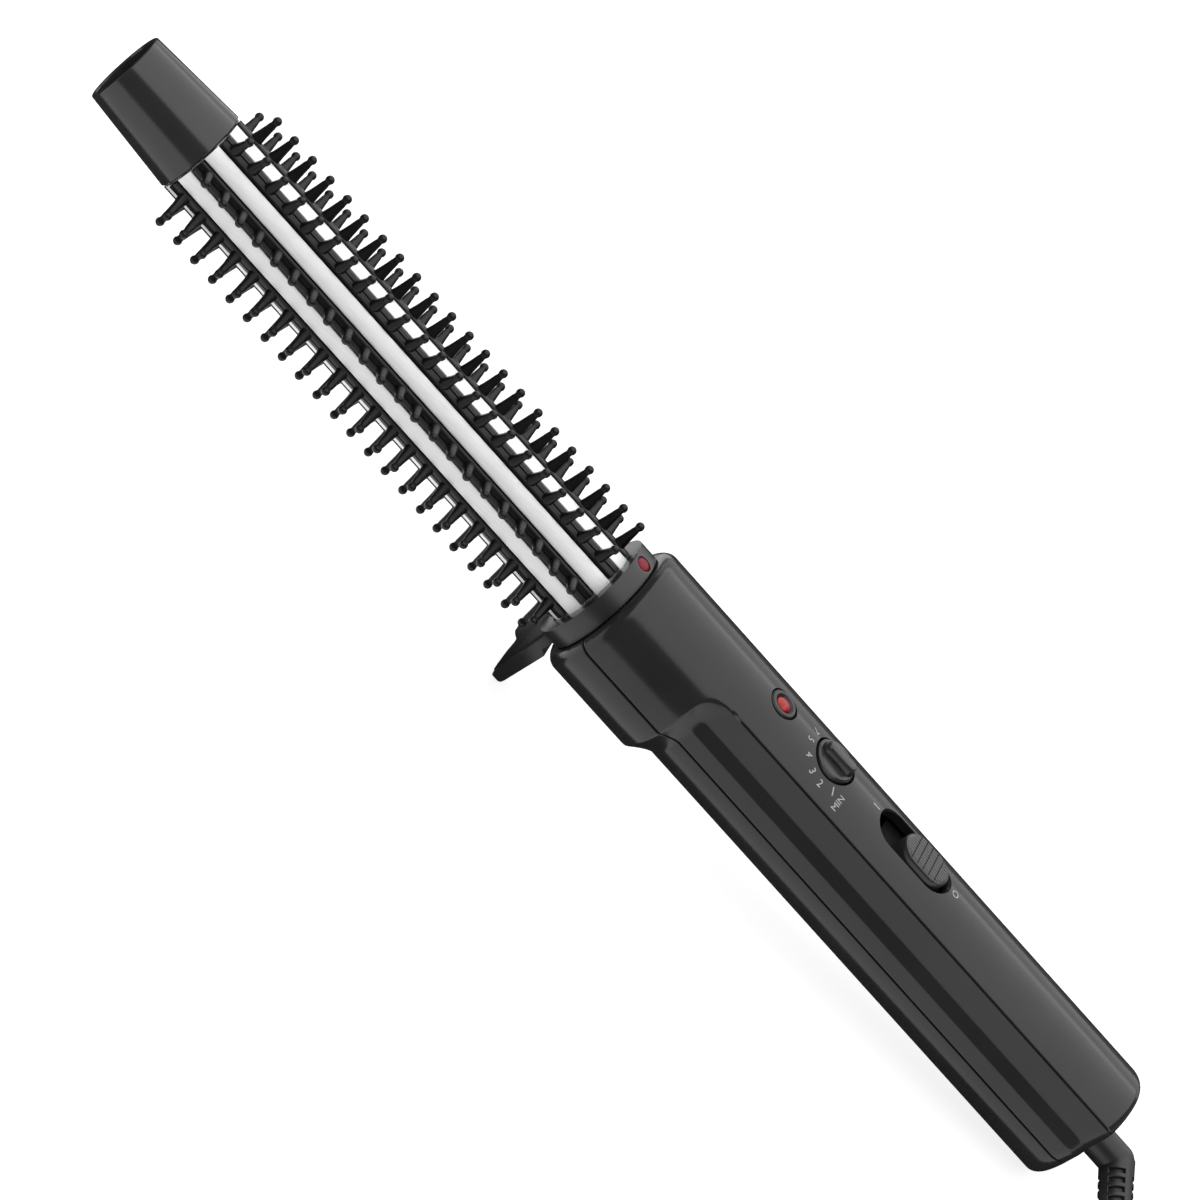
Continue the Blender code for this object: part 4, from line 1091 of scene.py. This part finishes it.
def rail_section():
    """Round the sleeve: four rails at full radius, with the core between them."""
    points = []
    for quarter in range(4):
        middle = SLOT_TURN + math.pi / 4 + quarter * math.pi / 2
        for share in (-1.0, -0.92, -0.5, 0.0, 0.5, 0.92, 1.0):
            a = middle + share * RAIL_HALF_ANGLE
            r = NECK_RADIUS - (0.0001 if abs(share) == 1.0 else 0.0)
            points.append((r * math.cos(a), r * math.sin(a), 0.0))
        low, high = middle + RAIL_HALF_ANGLE * 1.06, middle + math.pi / 2 - RAIL_HALF_ANGLE * 1.06
        points += [(SLEEVE_CORE * math.cos(low + (high - low) * k / 6),
                    SLEEVE_CORE * math.sin(low + (high - low) * k / 6), 0.0) for k in range(7)]
    return points


def rib_pair():
    """Two arcs facing each other, each reaching from rail to rail, about the line's own Z axis."""
    shape = bmesh.new()
    for start in (SLOT_TURN, SLOT_TURN + math.pi):
        rings = []
        for k in range(13):
            a = start + math.radians(-40 + 80 * k / 12)
            section = [(SLEEVE_CORE - 0.0003, -0.5), (NECK_RADIUS - 0.00012, -0.5), (NECK_RADIUS, -0.36),
                       (NECK_RADIUS, 0.36), (NECK_RADIUS - 0.00012, 0.5), (SLEEVE_CORE - 0.0003, 0.5)]
            rings.append([Vector((r * math.cos(a), r * math.sin(a), w * RIB_WIDTH)) for r, w in section])
        arc_mesh = mesh_from(loft(rings), "arc")
        shape.from_mesh(arc_mesh)
        bpy.data.meshes.remove(arc_mesh)
    return shape


sleeve = line_object("ribbed_sleeve",
                     [sleeve_line(elbow + (SLEEVE_LENGTH - elbow) * i / 40) for i in range(41)])
rails = line_object("rail_section", rail_section(), closed=True)
ribs = object_from(rib_pair(), "rib_pair")
print("one pair of ribs has", len(ribs.data.polygons), "faces")

# %% The tree for the sleeve
sleeve_tree = Tree("sleeve", ("Section", "Object"), ("Ribs", "Object"), ("Count", "Int", RIB_COUNT),
                   ("Cuff", "Float", CUFF_LENGTH), ("Length", "Float", SLEEVE_LENGTH - elbow),
                   ("Taper", "Float", SLEEVE_END_RADIUS / NECK_RADIUS), ("Radius", "Float", NECK_RADIUS))
given, add, maths = sleeve_tree.given, sleeve_tree.add, sleeve_tree.maths
upright = add("GeometryNodeSetCurveNormal", {"Curve": add("GeometryNodeMeshToCurve", {0: given["Geometry"]})},
              mode="Z_UP")
thinner = maths("SUBTRACT", 1.0, given["Taper"])
place = add("GeometryNodeSplineParameter", {}, "Factor")
slim = add("GeometryNodeSetCurveRadius", {
    "Curve": upright, "Radius": maths("SUBTRACT", 1.0, maths("MULTIPLY", thinner, place))})
size_here = add("GeometryNodeInputRadius", {})


def swept(curve, profile):
    return add("GeometryNodeCurveToMesh", {"Curve": curve, "Profile Curve": profile, "Scale": size_here,
                                           "Fill Caps": True})


def trimmed(start, end):
    return add("GeometryNodeTrimCurve", {"Curve": slim, 2: start, 3: end})


def before_end(share):
    return maths("SUBTRACT", 1.0, maths("MULTIPLY", cuff_end, share))


cuff_end = maths("DIVIDE", given["Cuff"], given["Length"])
circle = add("GeometryNodeCurvePrimitiveCircle", {"Resolution": 40, "Radius": given["Radius"]})
parts = [swept(slim, add("GeometryNodeMeshToCurve", {0: sleeve_tree.shape_of("Section")})),
         swept(trimmed(0.0, cuff_end), circle), swept(trimmed(before_end(0.6), 1.0), circle)]
points = add("GeometryNodeCurveToPoints", {
    "Curve": trimmed(maths("MULTIPLY", cuff_end, 1.15), before_end(0.75)), "Count": given["Count"]})
along_points = points.node.outputs["Rotation"]
quarter = sleeve_tree.vector(Z=maths("MULTIPLY", add("GeometryNodeInputIndex", {}), math.pi / 2))
turned = add("FunctionNodeRotateRotation", {0: along_points, 1: quarter}, rotation_space="LOCAL")
parts.append(add("GeometryNodeInstanceOnPoints", {"Points": points, "Instance": sleeve_tree.shape_of("Ribs"),
                                                  "Rotation": turned, "Scale": size_here}))
sleeve_tree.finish(sleeve_tree.join(parts))

# %% Run it along the sleeve's line
sleeve_tree.run(sleeve, section=rails, ribs=ribs, material=sleeve_rubber.material)
for pattern in (rails, ribs):
    bpy.data.objects.remove(pattern)
finish_piece(sleeve, "root", sleeve_rubber, ["strain_relief"], angle=35)

# %% [markdown]
# ## Plug and ties
#
# The cord ends in a moulded two-blade plug, which lies in the middle of the hank, and a strap round each
# side of the hank holds its runs together. The plug is a loft whose section grows from the round cord to a
# rounded oblong, and each strap is a closed band with rounded corners.

# %% The plug
BLADE_LENGTH, BLADE_SPACING = 0.0170, 0.0127
plug_start = hank_near - PLUG_LEAD
plug_height = PLUG_HALF_HEIGHT + 0.0003


def plug_ring(x, half_width, half_height, squareness, points=56):
    ring = []
    for k in range(points):
        a = math.tau * (k + 0.5) / points
        across, tall = (math.copysign(abs(share) ** squareness, share)
                        for share in (math.cos(a), math.sin(a)))
        ring.append(Vector((plug_start - x, hank_middle + half_width * across,
                            plug_height + half_height * tall)))
    return ring


stations = [(0.0, 0.0036, 0.0036, 1.0), (0.0004, 0.0038, 0.0038, 1.0)]
for i in range(4):
    at = 0.0010 + i * 0.0018
    grow = 0.0002 * i
    stations += [(at, 0.0039 + grow, 0.0038 + grow, 0.95), (at + 0.0008, 0.0039 + grow, 0.0038 + grow, 0.95),
                 (at + 0.0010, 0.0035 + grow, 0.0034 + grow, 0.95),
                 (at + 0.0016, 0.0035 + grow, 0.0034 + grow, 0.95)]
stations += [(0.0080, 0.0048, 0.0044, 0.9), (0.0098, 0.0068, 0.0051, 0.8), (0.0118, 0.0096, 0.0060, 0.7),
             (0.0136, 0.0114, 0.0067, 0.64), (0.0150, 0.0120, 0.0070, 0.6), (0.0200, 0.01185, 0.0069, 0.6),
             (0.0255, 0.0120, 0.0070, 0.6), (PLUG_LENGTH - 0.0006, 0.0120, 0.0070, 0.6),
             (PLUG_LENGTH - 0.0002, 0.0118, 0.0068, 0.6), (PLUG_LENGTH, 0.0114, 0.0064, 0.6)]
plug = object_from(loft([plug_ring(*station) for station in stations]), "mains_plug")
finish_piece(plug, "root", cord_rubber, ["plug_body"], angle=40)

for i, sign in enumerate((-1, 1)):
    y = hank_middle + sign * BLADE_SPACING / 2
    face = plug_start - PLUG_LENGTH - 0.0003
    tip = face - BLADE_LENGTH
    outline = [(x, plug_height + z) for x, z in
               ((face, -0.0032), (tip + 0.0011, -0.0032), (tip, -0.0021), (tip, 0.0021),
                (tip + 0.0011, 0.0032), (face, 0.0032))]
    blade = object_from(prism(1, outline, (y - 0.0008, y + 0.0008)), f"blade_{i + 1}")
    hole = [(tip + 0.0036 + 0.0015 * math.cos(a), plug_height + 0.0015 * math.sin(a))
            for a in angles(0, math.tau, 24)[:-1]]
    cut(blade, prism(1, hole, (y - 0.002, y + 0.002)))
    soften(blade, 0.0002, 2, 40)
    finish_piece(blade, "root", blade_metal, [f"plug_blade_{i + 1}"])

# %% The ties
TIE_WIDTH, TIE_THICKNESS = 0.0080, 0.0006
HANK_TOP = 0.0009 + 3 * 2 * CORD_RADIUS + 0.0002


def tie_section(grow):
    """Round the six cords of one side: a rounded box, as (across, height) pairs about their middle."""
    half = 2 * CORD_RADIUS + 0.0002 + CLEARANCE + grow
    low, high = TIE_THICKNESS - grow, HANK_TOP + CLEARANCE + grow
    corner = 0.0024 + grow
    points = []
    for across, height, start in ((half - corner, low + corner, -90), (half - corner, high - corner, 0),
                                  (-half + corner, high - corner, 90), (-half + corner, low + corner, 180)):
        points += [(across + corner * math.cos(math.radians(start + 15 * k)),
                    height + corner * math.sin(math.radians(start + 15 * k))) for k in range(7)]
    return points


tie_x = (hank_near + hank_far) / 2
for i, y in enumerate((hank_middle + HANK_FOLD + CORD_RADIUS, hank_middle - HANK_FOLD - CORD_RADIUS)):
    rings = []
    for grow, places in ((0.0, (-1, 1)), (TIE_THICKNESS, (1, -1))):
        for place in places:
            rings.append([Vector((tie_x + place * TIE_WIDTH / 2, y + across, height))
                          for across, height in tie_section(grow)])
    tie = object_from(loft(rings, closed=True), f"hank_tie_{i + 1}")
    soften(tie, 0.0002, 2, 50)
    finish_piece(tie, "root", strap_weave, [f"cord_tie_{i + 1}"], angle=40)

cord_exit = sleeve_line(SLEEVE_LENGTH)
finish_piece(power_cord, "root", cord_rubber, ["cord_lead", "cord_hank", "cord_tail"])

# %% [markdown]
# ## The pieces that stay as they are
#
# Inside the handle and the barrel are the parts that make it work: the board with the heat control, the
# switch, the heater on its ceramic carrier, the fuse and the wires. Their CAD shapes are already right, so
# they only get finishes.

# %% Finishes for the CAD nodes that are kept
KEPT = {
    ceramic: ("tip_insulator", "barrel_bush", "heater_carrier"),
    steel: ("rear_handle_screw", "front_handle_screw", "tip_screw", "heater_plate", "thermal_fuse",
            "dial_shaft"),
    black_plastic: ("temperature_control", "switch_body", "switch_lever", "cord_clamp"),
    lamp_red: ("indicator_lamp",),
    board_green: ("circuit_board",),
    wire_sheath: ("live_wire", "neutral_wire", "heater_lead_1", "heater_lead_2"),
}
for finish, nodes in KEPT.items():
    for node in nodes:
        for slot in bpy.data.objects[node].material_slots:
            slot.material = finish.material
print(sum(len(nodes) for nodes in KEPT.values()), "CAD nodes keep their shapes")

# %% [markdown]
# ## Floor and light
#
# The brush is shown on a white ground with long clean reflections. A wide softbox above and a little behind
# draws the bright bands along the handle, and the floor throws light back up from in front. The floor glows
# too, so the shadow on it stays faint. Two black cards that only the gloss can see keep its brightness off
# the lower edges of the dark plastic, and a dim world leaves the gap between floor and softbox dark.

# %% Floor
floor_shape = bmesh.new()
bmesh.ops.create_grid(floor_shape, x_segments=1, y_segments=1, size=3.0)
floor = linked("floor", mesh_from(floor_shape, "floor"))
floor_paint = speckled("floor_paint", 3.0, (0.34, 0.34, 0.34), (0.35, 0.35, 0.35), roughness=0.9,
                       specular_ior_level=0.1, emission_strength=0.85, emission_color=(1.0, 1.0, 1.0))
floor.data.materials.append(floor_paint.material)
print("floor", round(floor.dimensions.x, 1), "m wide")

# %% Lights
def softbox(name, place, target, width, depth, radiance):
    data = bpy.data.lights.new(name, "AREA")
    data.shape, data.size, data.size_y = "RECTANGLE", width, depth
    data.energy = radiance * math.pi * width * depth
    data.color = LIGHT_COLOUR
    light = linked(name, data)
    light.matrix_world = Matrix.Translation(Vector(place)) @ (
        Vector(place) - Vector(target)).to_track_quat("Z", "X").to_matrix().to_4x4()
    print(name, round(data.energy), "W")


LIGHT_COLOUR = (1.0, 0.985, 0.988)
BOX_HEIGHT, BACK_WALL, LIGHT_LENGTH, FRONT_LEAN = 1.5, 2.6, 4.5, math.radians(20)
box_front = math.tan(FRONT_LEAN) * BOX_HEIGHT
box_middle, box_width = (box_front - BACK_WALL) / 2, box_front + BACK_WALL
softbox("overhead", (0, box_middle, BOX_HEIGHT), (0, box_middle, 0), box_width, LIGHT_LENGTH, 1.75)
softbox("back", (0, -BACK_WALL, BOX_HEIGHT / 2), (0, 0, BOX_HEIGHT / 2), BOX_HEIGHT, LIGHT_LENGTH, 0.8)


def flag(name, x0, x1, y0, y1):
    """A black card that only the gloss sees: it lies under and behind a dark piece and darkens its edges."""
    mesh = bpy.data.meshes.new(name)
    mesh.from_pydata([(*corner, FLAG_HEIGHT) for corner in rectangle(x0, x1, y0, y1)], [], [(0, 1, 2, 3)])
    card = linked(name, mesh)
    card.visible_camera = card.visible_diffuse = card.visible_shadow = card.visible_transmission = False
    mesh.materials.append(matt_black.material)


FLAG_HEIGHT = 0.0006
flag("handle_flag", -0.60, 0.034, -2.5, 0.012)
flag("tip_flag", 0.118, 0.60, -2.5, 0.016)

world = bpy.data.worlds.new("studio")
world.use_nodes = True
sky = world.node_tree.nodes["Background"].inputs
sky["Color"].default_value, sky["Strength"].default_value = (1.0, 1.0, 1.0, 1.0), 0.15
bpy.context.scene.world = world

# %% [markdown]
# ## The end
#
# The visual pieces have to fit in the box of the CAD model.
